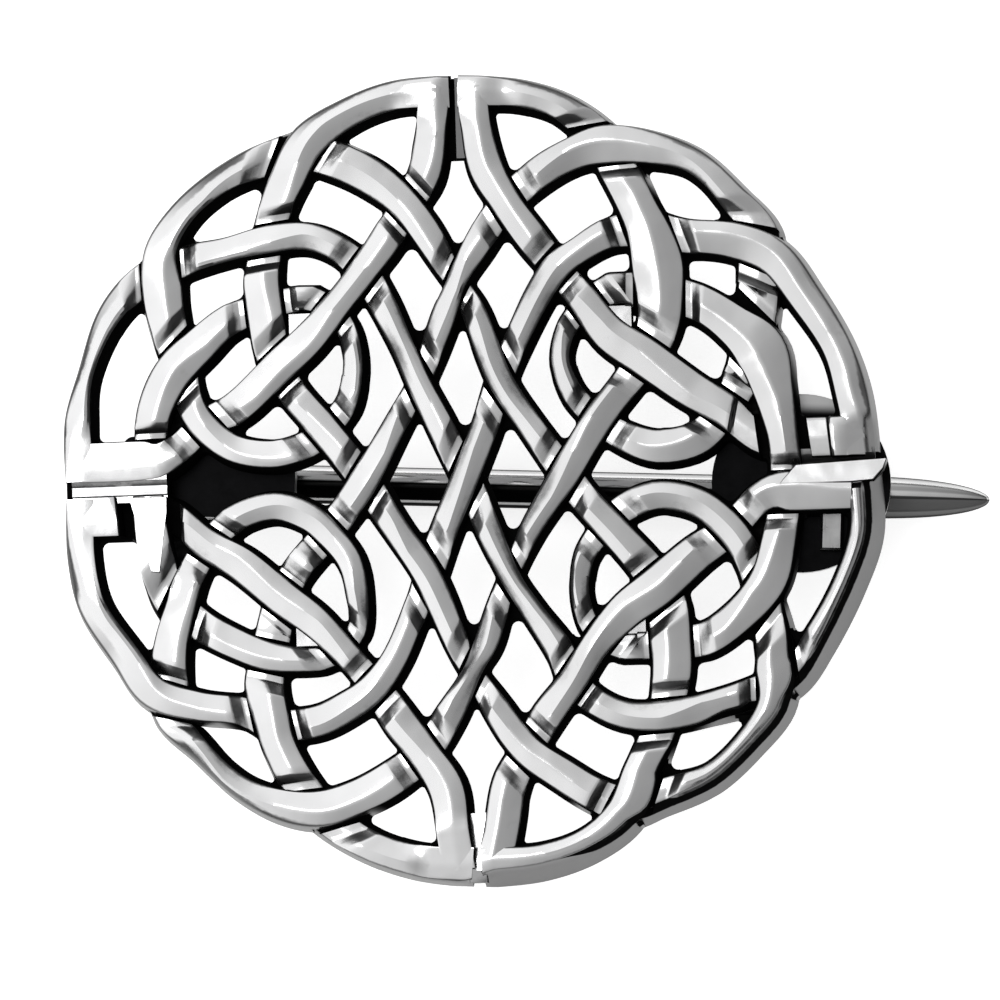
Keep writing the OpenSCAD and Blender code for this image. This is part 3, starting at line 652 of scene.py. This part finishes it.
def build_knot():
    parts = bpy.data.collections.new("knot_parts")
    scene.collection.children.link(parts)
    first, feet = None, []
    for i in range(len(RUNS)):
        verts, faces, f = run_mesh(i)
        feet.append(f)
        ob = to_object("run%d" % i, verts, faces, parts, i + 1)
        first = first or ob
    count = 0
    for p, ta, tb, a, b in crossings_of(feet):
        rng = np.random.RandomState(int(abs(p[0] * 131 + p[1] * 17) * 10) % 9973)
        made = fillet(p, ta, tb, a[1], b[1], 0.12 + 0.22 * rng.rand())
        if made:
            to_object("fillet%d" % count, *made, parts, 100 + count)
            count += 1
    for q in range(4):
        for x, y, z in ((7.9, 7.8, 1.5), (14.1, 3.2, 1.0)):
            cx, cy = spot(x, y, q)
            to_object("web", *block(cx, cy, 0.6, 0.6, z, 0.02, 0.0), parts)
    for name, prof, lo, hi, across in (
            ("left_groove", [(-0.66, 0), (-0.66, 1.7), (-0.36, 1.7), (-0.30, 1.86), (0.14, 1.77),
                             (0.42, 1.98), (0.76, 1.98), (0.76, 0)], -19.45, -14.75, "x"),
            ("left_notch", [(-0.7, 0), (-0.7, 0.95), (0.7, 0.95), (0.7, 0)], -19.84, -19.3, "x"),
            ("right_groove", [(-0.4, 0), (-0.4, 1.19), (0.1, 1.19), (0.55, 1.38), (0.8, 1.38),
                              (0.8, 0)], 15.3, 20.1, "x"),
            ("top_groove", [(-0.6, 0), (-0.6, 0.9), (-0.04, 0.9), (0.0, 1.24), (0.6, 1.28),
                            (0.6, 0)], 15.8, 19.8, "y"),
            ("bottom_groove", [(-0.5, 0), (-0.5, 1.1), (-0.31, 1.1), (-0.28, 1.66), (0.1, 1.76),
                               (0.5, 1.80), (0.5, 0)], -19.3, -16.5, "y")):
        to_object(name, *channel(prof, lo, hi, across), parts, 50)
    for k, (points, plane) in enumerate(SLABS):
        to_object("slab%d" % k, *slab(points, plane), parts, 60 + k)
    parts.objects.unlink(first)
    scene.collection.objects.link(first)
    mod = first.modifiers.new("join", "BOOLEAN")
    mod.operation = "UNION"
    mod.solver = "MANIFOLD"
    mod.operand_type = "COLLECTION"
    mod.collection = parts
    dg = bpy.context.evaluated_depsgraph_get()
    mesh = bpy.data.meshes.new_from_object(first.evaluated_get(dg))
    for ob in list(parts.objects) + [first]:
        me = ob.data
        bpy.data.objects.remove(ob)
        bpy.data.meshes.remove(me)
    bpy.data.collections.remove(parts)
    turn = Matrix.Rotation(math.radians(TURN), 4, "Z")
    move = Matrix.Translation((-MID_X, 0, KNOT_Z))
    mesh.transform(Matrix.Scale(0.001, 4) @ move @ turn)
    for v in mesh.vertices:             # nothing reaches past the CAD part's box
        for a in range(3):
            v.co[a] = min(max(v.co[a], CAD_BOX[0][a] + 1e-6), CAD_BOX[1][a] - 1e-6)
    mesh.name = "knot_casting"
    ob = bpy.data.objects.new("knot_casting", mesh)
    scene.collection.objects.link(ob)
    bm = bmesh.new()
    bm.from_mesh(mesh)
    bmesh.ops.triangulate(bm, faces=[f for f in bm.faces if len(f.verts) > 4])
    bad = sum(1 for e in bm.edges if len(e.link_faces) != 2)
    print("knot:", len(bm.verts), "points", len(bm.faces), "faces", bad, "open edges", count, "fillets")
    bm.to_mesh(mesh)
    bm.free()
    return ob


# ------------------------------------------------------------------ finishes
def new_material(name):
    m = bpy.data.materials.new(name)
    m.use_nodes = True
    t = m.node_tree
    for n in list(t.nodes):
        t.nodes.remove(n)
    out = t.nodes.new("ShaderNodeOutputMaterial")
    sh = t.nodes.new("ShaderNodeBsdfPrincipled")
    t.links.new(sh.outputs[0], out.inputs[0])
    return m, t, sh


def math_node(t, op, a, b=None, c=None, clamp=False):
    n = t.nodes.new("ShaderNodeMath")
    n.operation = op
    n.use_clamp = clamp
    for i, v in enumerate((a, b, c)):
        if v is None:
            continue
        if isinstance(v, (int, float)):
            n.inputs[i].default_value = v
        else:
            t.links.new(v, n.inputs[i])
    return n.outputs[0]


def smooth(t, value, lo, hi, a=0.0, b=1.0):
    n = t.nodes.new("ShaderNodeMapRange")
    n.interpolation_type = "SMOOTHSTEP"
    t.links.new(value, n.inputs["Value"])
    n.inputs["From Min"].default_value = lo
    n.inputs["From Max"].default_value = hi
    n.inputs["To Min"].default_value = a
    n.inputs["To Max"].default_value = b
    return n.outputs[0]


def noise(t, scale, detail=3.0, rough=0.5, stretch=None, vector=None):
    co = vector
    if co is None:
        co = t.nodes.new("ShaderNodeTexCoord").outputs["Object"]
    if stretch:
        mp = t.nodes.new("ShaderNodeMapping")
        mp.inputs["Scale"].default_value = stretch
        t.links.new(co, mp.inputs["Vector"])
        co = mp.outputs[0]
    n = t.nodes.new("ShaderNodeTexNoise")
    n.inputs["Scale"].default_value = scale
    n.inputs["Detail"].default_value = detail
    n.inputs["Roughness"].default_value = rough
    t.links.new(co, n.inputs["Vector"])
    return n.outputs["Fac"]


def mix_colour(t, fac, a, b):
    n = t.nodes.new("ShaderNodeMix")
    n.data_type = "RGBA"
    if isinstance(fac, float):
        n.inputs[0].default_value = fac
    else:
        t.links.new(fac, n.inputs[0])
    for sock, v in ((n.inputs[6], a), (n.inputs[7], b)):
        if isinstance(v, tuple):
            sock.default_value = (*v, 1.0)
        else:
            t.links.new(v, sock)
    return n.outputs[2]


def bump(t, height, strength, distance, normal=None):
    n = t.nodes.new("ShaderNodeBump")
    n.inputs["Strength"].default_value = strength
    n.inputs["Distance"].default_value = distance
    t.links.new(height, n.inputs["Height"])
    if normal is not None:
        t.links.new(normal, n.inputs["Normal"])
    return n.outputs[0]


def knot_silver():
    """polished cast silver on top, darker towards the right and top as painted shade, darkened on slopes
    and in the shallow dips, blackened on walls and in low places, with a black band of painted shade in
    the rim's step at the lower right
    """
    m, t, sh = new_material("knot_silver_polished")
    co = t.nodes.new("ShaderNodeTexCoord").outputs["Object"]
    op = t.nodes.new("ShaderNodeSeparateXYZ")
    t.links.new(co, op.inputs[0])
    nor = t.nodes.new("ShaderNodeSeparateXYZ")
    t.links.new(t.nodes.new("ShaderNodeTexCoord").outputs["Normal"], nor.inputs[0])
    up_z = nor.outputs[2]
    nz = math_node(t, "ABSOLUTE", up_z)
    ragged = noise(t, 2600, 4, 0.6)
    edge = math_node(t, "MULTIPLY_ADD", ragged, 0.10, -0.05)
    nz = math_node(t, "ADD", nz, edge)
    wall = smooth(t, nz, 0.34, 0.50, 1.0, 0.0)
    height = math_node(t, "SUBTRACT", op.outputs[2], KNOT_Z / 1000)
    height = math_node(t, "MULTIPLY_ADD", ragged, 0.00010, height)
    low = smooth(t, height, 0.00104, 0.00122, 1.0, 0.0)
    front = smooth(t, up_z, -0.2, 0.1, 0.0, 1.0)
    low = math_node(t, "MULTIPLY", low, front)
    dark = math_node(t, "MAXIMUM", wall, low)
    # the outside of the rim is rubbed bare again below its shoulder, except in the step at the lower
    # right, where a black band of painted shade stays above the ledge
    cx = math_node(t, "ADD", op.outputs[0], MID_X / 1000)
    r = math_node(t, "SQRT", math_node(t, "ADD", math_node(t, "MULTIPLY", cx, cx),
                                       math_node(t, "MULTIPLY", op.outputs[1], op.outputs[1])))
    outward = math_node(t, "DIVIDE", math_node(t, "ADD", math_node(t, "MULTIPLY", cx, nor.outputs[0]),
                                               math_node(t, "MULTIPLY", op.outputs[1], nor.outputs[1])), r)
    rim_side = math_node(t, "MULTIPLY", smooth(t, r, 0.0166, 0.0172), smooth(t, outward, 0.35, 0.55))
    right_side = math_node(t, "MULTIPLY", smooth(t, cx, 0.005, 0.007),
                           smooth(t, op.outputs[1], 0.0004, 0.0014, 1.0, 0.0))
    limit = math_node(t, "MULTIPLY_ADD", right_side, -0.00108, 0.002)
    below = smooth(t, math_node(t, "SUBTRACT", height, limit), -0.00004, 0.00004, 1.0, 0.0)
    # painted shade: a black band on the steep outer faces of the rim up to 1.7 mm high
    painted_band = math_node(t, "MULTIPLY", rim_side, smooth(t, nz, 0.66, 0.78, 1.0, 0.0))
    painted_band = math_node(t, "MULTIPLY", painted_band, smooth(t, height, 0.00165, 0.00175, 1.0, 0.0))
    dark = math_node(t, "MAXIMUM", dark, painted_band)
    rim_out = math_node(t, "MULTIPLY", rim_side, below)
    dark = math_node(t, "MULTIPLY", dark, math_node(t, "SUBTRACT", 1.0, rim_out))
    tone = noise(t, 260, 3, 0.5)
    silver = mix_colour(t, smooth(t, tone, 0.3, 0.7), (0.95, 0.95, 0.955), (0.86, 0.86, 0.865))
    # painted shade: the silver is mixed towards grey towards the right and top, standing in for the side
    # turned away from the light
    painted_shade_lean = math_node(t, "ADD", cx, math_node(t, "MULTIPLY", op.outputs[1], 0.35))
    silver = mix_colour(t, smooth(t, painted_shade_lean, -0.004, 0.012, 0.0, 0.30), silver, (0.50, 0.50, 0.50))
    tarnish = noise(t, 900, 5, 0.62)
    spots = smooth(t, tarnish, 0.62, 0.78, 0.0, 0.18)
    silver = mix_colour(t, spots, silver, (0.42, 0.41, 0.40))
    # slopes and the shallow channels where a strand passes under another are darkened towards near black
    slope = smooth(t, nz, 0.72, 0.86, 0.85, 0.0)
    shallow = math_node(t, "MULTIPLY", smooth(t, height, 0.00138, 0.00166, 0.93, 0.0), front)
    darkening = math_node(t, "MAXIMUM", slope, shallow)
    darkening = math_node(t, "MAXIMUM", darkening, smooth(t, up_z, -0.6, -0.2, 0.72, 0.0))   # satin grey back
    silver = mix_colour(t, darkening, silver, (0.035, 0.035, 0.036))
    silver = mix_colour(t, rim_out, silver, (0.17, 0.17, 0.17))
    black = mix_colour(t, ragged, (0.002, 0.002, 0.002), (0.006, 0.006, 0.006))
    t.links.new(mix_colour(t, dark, silver, black), sh.inputs["Base Color"])
    t.links.new(math_node(t, "SUBTRACT", 1.0, dark, clamp=True), sh.inputs["Metallic"])
    sh.inputs["Specular IOR Level"].default_value = 0.0
    sh.inputs["Specular Tint"].default_value = (0.75, 0.75, 0.75, 1.0)
    fine = noise(t, 5000, 4, 0.6, stretch=(1, 0.35, 1))
    rough = math_node(t, "MULTIPLY_ADD", fine, 0.08, 0.12)
    rough = math_node(t, "MULTIPLY_ADD", darkening, 0.22, rough)
    rough = math_node(t, "MULTIPLY_ADD", dark, 0.3, rough, clamp=True)
    t.links.new(rough, sh.inputs["Roughness"])
    soft = noise(t, 330, 2, 0.5)
    b1 = bump(t, soft, 0.55, 0.00012)
    pits = noise(t, 7000, 3, 0.7)
    b2 = bump(t, pits, 0.08, 0.000008, b1)
    t.links.new(b2, sh.inputs["Normal"])
    return m


def fitting_silver():
    m, t, sh = new_material("fitting_silver_blackened")
    n1 = noise(t, 1500, 5, 0.65)
    n2 = noise(t, 260, 3, 0.5)
    nor = t.nodes.new("ShaderNodeSeparateXYZ")
    t.links.new(t.nodes.new("ShaderNodeTexCoord").outputs["Normal"], nor.inputs[0])
    # the side of each plate is rubbed bare, its faces stay dark
    side = smooth(t, math_node(t, "ABSOLUTE", nor.outputs[2]), 0.25, 0.75, 1.0, 0.0)
    rub = math_node(t, "MULTIPLY", side, smooth(t, n2, 0.25, 0.6, 0.55, 1.0))
    dark = mix_colour(t, n1, (0.0015, 0.0015, 0.0015), (0.006, 0.006, 0.0065))
    place = t.nodes.new("ShaderNodeSeparateXYZ")
    t.links.new(t.nodes.new("ShaderNodeTexCoord").outputs["Object"], place.inputs[0])
    # painted light: the face of each plate beyond 3.6 to 4.2 mm along its y is lighter grey, standing in
    # for the lit part; the rest stays dark as in shade
    painted_lit_face = math_node(t, "MULTIPLY", smooth(t, place.outputs[1], 0.0036, 0.0042),
                     smooth(t, nor.outputs[2], 0.3, 0.7))
    dark = mix_colour(t, painted_lit_face, dark, (0.30, 0.30, 0.30))
    t.links.new(mix_colour(t, rub, dark, (0.42, 0.42, 0.42)), sh.inputs["Base Color"])
    sh.inputs["Metallic"].default_value = 1.0
    t.links.new(math_node(t, "MULTIPLY_ADD", n1, 0.18, 0.24), sh.inputs["Roughness"])
    brushed = noise(t, 2600, 3, 0.6, stretch=(0.12, 1, 1))
    t.links.new(bump(t, brushed, 0.25, 0.00002), sh.inputs["Normal"])
    return m


def pin_silver():
    m, t, sh = new_material("pin_silver_polished")
    draw = noise(t, 5200, 4, 0.6, stretch=(0.03, 1, 1))
    lines = noise(t, 2600, 3, 0.6, stretch=(0.012, 1, 1))
    cloud = noise(t, 220, 3, 0.5)
    nor = t.nodes.new("ShaderNodeSeparateXYZ")
    t.links.new(t.nodes.new("ShaderNodeTexCoord").outputs["Normal"], nor.inputs[0])
    silver = mix_colour(t, smooth(t, cloud, 0.3, 0.7), (0.66, 0.66, 0.66), (0.50, 0.50, 0.50))
    silver = mix_colour(t, smooth(t, lines, 0.50, 0.62, 0.0, 0.25), silver, (0.30, 0.30, 0.30))
    # painted reflection bands along it, set by the surface direction: light, grey and light above, a dark
    # line, then darker below
    ny = nor.outputs[1]
    mid = math_node(t, "ABSOLUTE", math_node(t, "SUBTRACT", ny, 0.42))
    painted_band = smooth(t, mid, 0.05, 0.20, 0.75, 0.0)
    place = t.nodes.new("ShaderNodeSeparateXYZ")
    t.links.new(t.nodes.new("ShaderNodeTexCoord").outputs["Object"], place.inputs[0])
    tip = smooth(t, place.outputs[0], 0.0150, 0.0165)
    stem = math_node(t, "SUBTRACT", 1.0, tip)
    # painted light: the stem is made lighter, which shows on its upper side
    silver = mix_colour(t, math_node(t, "MULTIPLY", stem, 0.8), silver, (0.85, 0.85, 0.85))
    # painted reflection: a dark band across the point's upper side
    silver = mix_colour(t, math_node(t, "MULTIPLY", painted_band, tip), silver, (0.20, 0.20, 0.20))
    # painted shade: the lower side is near black on the stem and dark grey on the point
    below = mix_colour(t, tip, (0.002, 0.002, 0.002), (0.15, 0.15, 0.15))
    # painted highlight: a thin light line low on the stem
    glint = smooth(t, math_node(t, "ABSOLUTE", math_node(t, "ADD", ny, 0.80)), 0.04, 0.09, 1.0, 0.0)
    below = mix_colour(t, math_node(t, "MULTIPLY", glint, stem), below, (0.5, 0.5, 0.5))
    painted_shade_lower = smooth(t, math_node(t, "MULTIPLY_ADD", stem, -0.25, ny), -0.12, 0.0, 1.0, 0.0)
    silver = mix_colour(t, painted_shade_lower, silver, below)
    # painted reflection: a dark line along the crest of the pin
    painted_line_dist = math_node(t, "ABSOLUTE", math_node(t, "ADD", ny, 0.03))
    silver = mix_colour(t, smooth(t, painted_line_dist, 0.04, 0.11, 0.92, 0.0), silver, (0.01, 0.01, 0.01))
    # painted shade: faces turned away from the top are darkened to near black and, with the lower side,
    # lose their metal sheen
    side = smooth(t, nor.outputs[2], 0.20, 0.50, 1.0, 0.0)
    silver = mix_colour(t, side, silver, (0.05, 0.05, 0.05))
    t.links.new(silver, sh.inputs["Base Color"])
    painted_shade_dull = math_node(t, "MAXIMUM", math_node(t, "MULTIPLY", painted_shade_lower, 0.6), side)
    t.links.new(math_node(t, "SUBTRACT", 1.0, painted_shade_dull, clamp=True), sh.inputs["Metallic"])
    sh.inputs["Specular IOR Level"].default_value = 0.0
    sh.inputs["Specular Tint"].default_value = (0.25, 0.25, 0.25, 1.0)
    t.links.new(math_node(t, "MULTIPLY_ADD", draw, 0.12, 0.10), sh.inputs["Roughness"])
    t.links.new(bump(t, draw, 0.12, 0.000008), sh.inputs["Normal"])
    return m


def step_silver():
    """bare satin silver of the catch's step"""
    m, t, sh = new_material("step_silver_satin")
    n1 = noise(t, 1500, 4, 0.6)
    nor = t.nodes.new("ShaderNodeSeparateXYZ")
    t.links.new(t.nodes.new("ShaderNodeTexCoord").outputs["Normal"], nor.inputs[0])
    top = smooth(t, nor.outputs[2], 0.3, 0.6)
    bare = mix_colour(t, n1, (0.20, 0.20, 0.20), (0.34, 0.34, 0.34))
    t.links.new(mix_colour(t, top, (0.01, 0.01, 0.01), bare), sh.inputs["Base Color"])
    t.links.new(top, sh.inputs["Metallic"])
    sh.inputs["Specular IOR Level"].default_value = 0.0
    t.links.new(math_node(t, "MULTIPLY_ADD", n1, 0.15, 0.22), sh.inputs["Roughness"])
    brushed = noise(t, 2600, 3, 0.6, stretch=(1, 0.12, 1))
    t.links.new(bump(t, brushed, 0.25, 0.00002), sh.inputs["Normal"])
    return m


def rivet_silver():
    m, t, sh = new_material("rivet_silver_hammered")
    dents = noise(t, 1800, 3, 0.5)
    t.links.new(mix_colour(t, smooth(t, dents, 0.35, 0.65), (0.62, 0.62, 0.62), (0.34, 0.34, 0.34)),
                sh.inputs["Base Color"])
    sh.inputs["Metallic"].default_value = 1.0
    t.links.new(math_node(t, "MULTIPLY_ADD", dents, 0.2, 0.15), sh.inputs["Roughness"])
    t.links.new(bump(t, dents, 0.5, 0.00005), sh.inputs["Normal"])
    return m


def give(ob, mat):
    ob.data.materials.clear()
    ob.data.materials.append(mat)


def smooth_by_angle(ob, degrees):
    """smooth shading, with crisp edges at sharp bends and where two strands meet"""
    bm = bmesh.new()
    bm.from_mesh(ob.data)
    src = bm.faces.layers.int.get("source")
    limit = math.radians(degrees)
    for f in bm.faces:
        f.smooth = True
    for e in bm.edges:
        sides = e.link_faces
        e.smooth = (len(sides) == 2 and sides[0][src] == sides[1][src]
                    and e.calc_face_angle(0.0) < limit)
    bm.to_mesh(ob.data)
    bm.free()
    # large faces decide the shading normals, slivers don't
    mod = ob.modifiers.new("weighted", "WEIGHTED_NORMAL")
    mod.mode = "FACE_AREA"
    mod.keep_sharp = True
    bpy.context.view_layer.update()
    dg = bpy.context.evaluated_depsgraph_get()
    mesh = bpy.data.meshes.new_from_object(ob.evaluated_get(dg))
    old = ob.data
    ob.modifiers.clear()
    ob.data = mesh
    bpy.data.meshes.remove(old)


knot = build_knot()
smooth_by_angle(knot, 36)
give(knot, knot_silver())
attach(knot, "brooch")
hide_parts("knot_frame")

step_verts, step_faces = block(15.18, -2.08, 0.56, 1.03, 0.75, 0.10, 0.03)
catch_step = to_object("catch_step", step_verts, step_faces, scene.collection)
catch_step.data.transform(Matrix.Scale(0.001, 4) @ Matrix.Translation((0, 0, 5.0)))
PIN_R, SWELL_R, POINT = 0.95, 1.05, 6.4     # stem, widest part and length of the point
PIN_AT = (-15.7, -0.2, 1.9)                 # middle of the pin's eye
PIN_LEN = 38.5                              # from there to the tip
EYE_R, EYE_T, EYE_BORE = 1.6, 1.9, 0.55


def lathe(profile, sides):
    """closed body turned about the x axis: profile of x, radius from end to end"""
    verts, faces = [(profile[0][0], 0, 0)], []
    for x, r in profile[1:-1]:
        for j in range(sides):
            a = 2 * math.pi * j / sides
            verts.append((x, r * math.cos(a), r * math.sin(a)))
    verts.append((profile[-1][0], 0, 0))
    k, last = len(profile) - 2, len(verts) - 1
    for j in range(sides):
        n = (j + 1) % sides
        faces.append((0, 1 + n, 1 + j))
        for i in range(k - 1):
            a, b = 1 + i * sides, 1 + (i + 1) * sides
            faces.append((a + j, a + n, b + n, b + j))
        faces.append((last, 1 + (k - 1) * sides + j, 1 + (k - 1) * sides + n))
    return verts, faces


def build_pin():
    """stem with a spear point, its eye and the bore through the eye"""
    parts = bpy.data.collections.new("pin_parts")
    scene.collection.children.link(parts)
    start = PIN_LEN - POINT
    prof = [(0.0, 0.0), (0.0, PIN_R), (start - 2.4, PIN_R)]
    prof += [(start - 2.4 + 2.4 * v, PIN_R + (SWELL_R - PIN_R) * v * v * (3 - 2 * v))
             for v in (0.25, 0.5, 0.75)]
    prof += [(start + POINT * v, SWELL_R * math.sqrt(1 - v ** 2.3) * 0.995)
             for v in [i / 24 for i in range(24)] + [0.975, 0.99]]
    prof += [(PIN_LEN, 0.0)]
    stem = to_object("pin_body", *lathe(prof, 64), scene.collection)
    for name, r, half in (("eye", EYE_R * 0.999, EYE_T / 2 * 0.999), ("bore", EYE_BORE, 2.0)):
        verts, faces = lathe([(-half, 0), (-half, r), (half, r), (half, 0)], 96)
        ob = to_object(name, [(y, x, z) for x, y, z in verts], [f[::-1] for f in faces], parts)
        mod = stem.modifiers.new(name, "BOOLEAN")
        mod.solver = "MANIFOLD"
        mod.operation = "UNION" if name == "eye" else "DIFFERENCE"
        mod.object = ob
    bpy.context.view_layer.update()
    dg = bpy.context.evaluated_depsgraph_get()
    mesh = bpy.data.meshes.new_from_object(stem.evaluated_get(dg))
    for ob in list(parts.objects) + [stem]:
        me = ob.data
        bpy.data.objects.remove(ob)
        bpy.data.meshes.remove(me)
    bpy.data.collections.remove(parts)
    mesh.transform(Matrix.Scale(0.001, 4) @ Matrix.Translation(PIN_AT))
    ob = bpy.data.objects.new("pin_turned", mesh)
    scene.collection.objects.link(ob)
    return ob


pin = build_pin()
smooth_by_angle(pin, 36)
give(pin, pin_silver())
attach(pin, "pin")
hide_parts("pin_stem")

plates = fitting_silver()
for name, mat in (("hinge_fitting", plates), ("catch_fitting", plates),
                  ("hinge_rivet", rivet_silver())):
    node = frame["nodes"][name]
    if node.data.materials:
        for i in range(len(node.data.materials)):
            node.data.materials[i] = mat
    else:
        node.data.materials.append(mat)
give(catch_step, step_silver())
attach(catch_step, "brooch")

# -------------------------------------------------------------------- studio
me = bpy.data.meshes.new("floor")
s = 1.5
me.from_pydata([(-s, -s, 0), (s, -s, 0), (s, s, 0), (-s, s, 0)], [], [(0, 1, 2, 3)])
floor = bpy.data.objects.new("floor", me)
scene.collection.objects.link(floor)
mat, t, sh = new_material("pale_floor")
grain = noise(t, 900, 2, 0.5)
t.links.new(mix_colour(t, grain, (0.93, 0.93, 0.93), (0.95, 0.95, 0.95)), sh.inputs["Base Color"])
sh.inputs["Roughness"].default_value = 0.6
sh.inputs["Specular IOR Level"].default_value = 0.1
sh.inputs["Emission Color"].default_value = (1.0, 1.0, 1.0, 1.0)   # a pale light table
sh.inputs["Emission Strength"].default_value = 0.75
floor.data.materials.append(mat)


def area_light(name, place, target, size, power, size_y=None):
    data = bpy.data.lights.new(name, "AREA")
    data.shape = "RECTANGLE"
    data.size = size
    data.size_y = size_y or size
    data.energy = power
    ob = bpy.data.objects.new(name, data)
    scene.collection.objects.link(ob)
    ob.location = place
    d = Vector(target) - Vector(place)
    ob.rotation_euler = d.to_track_quat("-Z", "Y").to_euler()
    return ob


world = bpy.data.worlds.new("studio")
scene.world = world
world.use_nodes = True
t = world.node_tree
for n in list(t.nodes):
    t.nodes.remove(n)
out = t.nodes.new("ShaderNodeOutputWorld")
bg = t.nodes.new("ShaderNodeBackground")
t.links.new(bg.outputs[0], out.inputs[0])
sep = t.nodes.new("ShaderNodeSeparateXYZ")
t.links.new(t.nodes.new("ShaderNodeTexCoord").outputs["Generated"], sep.inputs[0])
# soft white from the left and behind, grey from the right and the front, dim low down
side = math_node(t, "ADD", math_node(t, "MULTIPLY", sep.outputs[0], -0.85),
                 math_node(t, "MULTIPLY", sep.outputs[1], 0.35))
tone = t.nodes.new("ShaderNodeValToRGB")
t.links.new(math_node(t, "MULTIPLY_ADD", side, 0.5, 0.5), tone.inputs["Fac"])
stops = [(0.02, 0.12), (0.14, 0.30), (0.32, 0.40), (0.45, 0.55), (0.52, 0.68), (0.62, 0.89),
         (0.76, 0.97), (0.98, 1.0)]
while len(tone.color_ramp.elements) < len(stops):
    tone.color_ramp.elements.new(0.5)
for e, (place, v) in zip(tone.color_ramp.elements, stops):
    e.position = place
    e.color = (v, v, v, 1.0)
dim = smooth(t, sep.outputs[2], 0.02, 0.42, 0.08, 1.0)
level = math_node(t, "MULTIPLY", tone.outputs["Color"], dim)
t.links.new(mix_colour(t, level, (0.0, 0.0, 0.0), (1.0, 1.0, 1.0)), bg.inputs["Color"])
bg.inputs["Strength"].default_value = 1.0

sun = bpy.data.lights.new("soft_sun", "SUN")
sun.energy = 0.6
sun.specular_factor = 0.0
sun.angle = math.radians(30)
ob = bpy.data.objects.new("soft_sun", sun)
scene.collection.objects.link(ob)
ob.rotation_euler = (math.radians(-12), math.radians(-20), 0)

# -------------------------------------------------------------------- camera
YAW, PITCH, ROLL = map(math.radians, (5.0, -4.0, -1.663))
DIST, CX, CY, PX = 369.27, 464.69, 476.32, 20.399
back = Vector((math.sin(YAW) * math.cos(PITCH), math.sin(PITCH), math.cos(YAW) * math.cos(PITCH)))
right = Vector((math.cos(YAW), 0, -math.sin(YAW)))
up = back.cross(right)
cr, sr = math.cos(ROLL), math.sin(ROLL)
right, up = right * cr - up * sr, right * sr + up * cr
ref = Vector((-MID_X, 0, KNOT_Z + STRAND_H)) / 1000
cam = bpy.data.cameras.new("camera")
cam.sensor_width = 36
cam.sensor_fit = "HORIZONTAL"
cam.lens = 36 * PX * DIST / 1000
cam.shift_x = (500 - CX) / 1000
cam.shift_y = (CY - 500) / 1000
cam.clip_start, cam.clip_end = 0.01, 10
camera = bpy.data.objects.new("camera", cam)
scene.collection.objects.link(camera)
rot = Matrix((right, up, back)).transposed()
camera.matrix_world = Matrix.Translation(ref + back * DIST / 1000) @ rot.to_4x4()
scene.camera = camera

scene.view_settings.view_transform = "Standard"
scene.view_settings.look = "None"
scene.view_settings.exposure = 0.0
scene.view_settings.gamma = 1.0

bpy.context.view_layer.update()
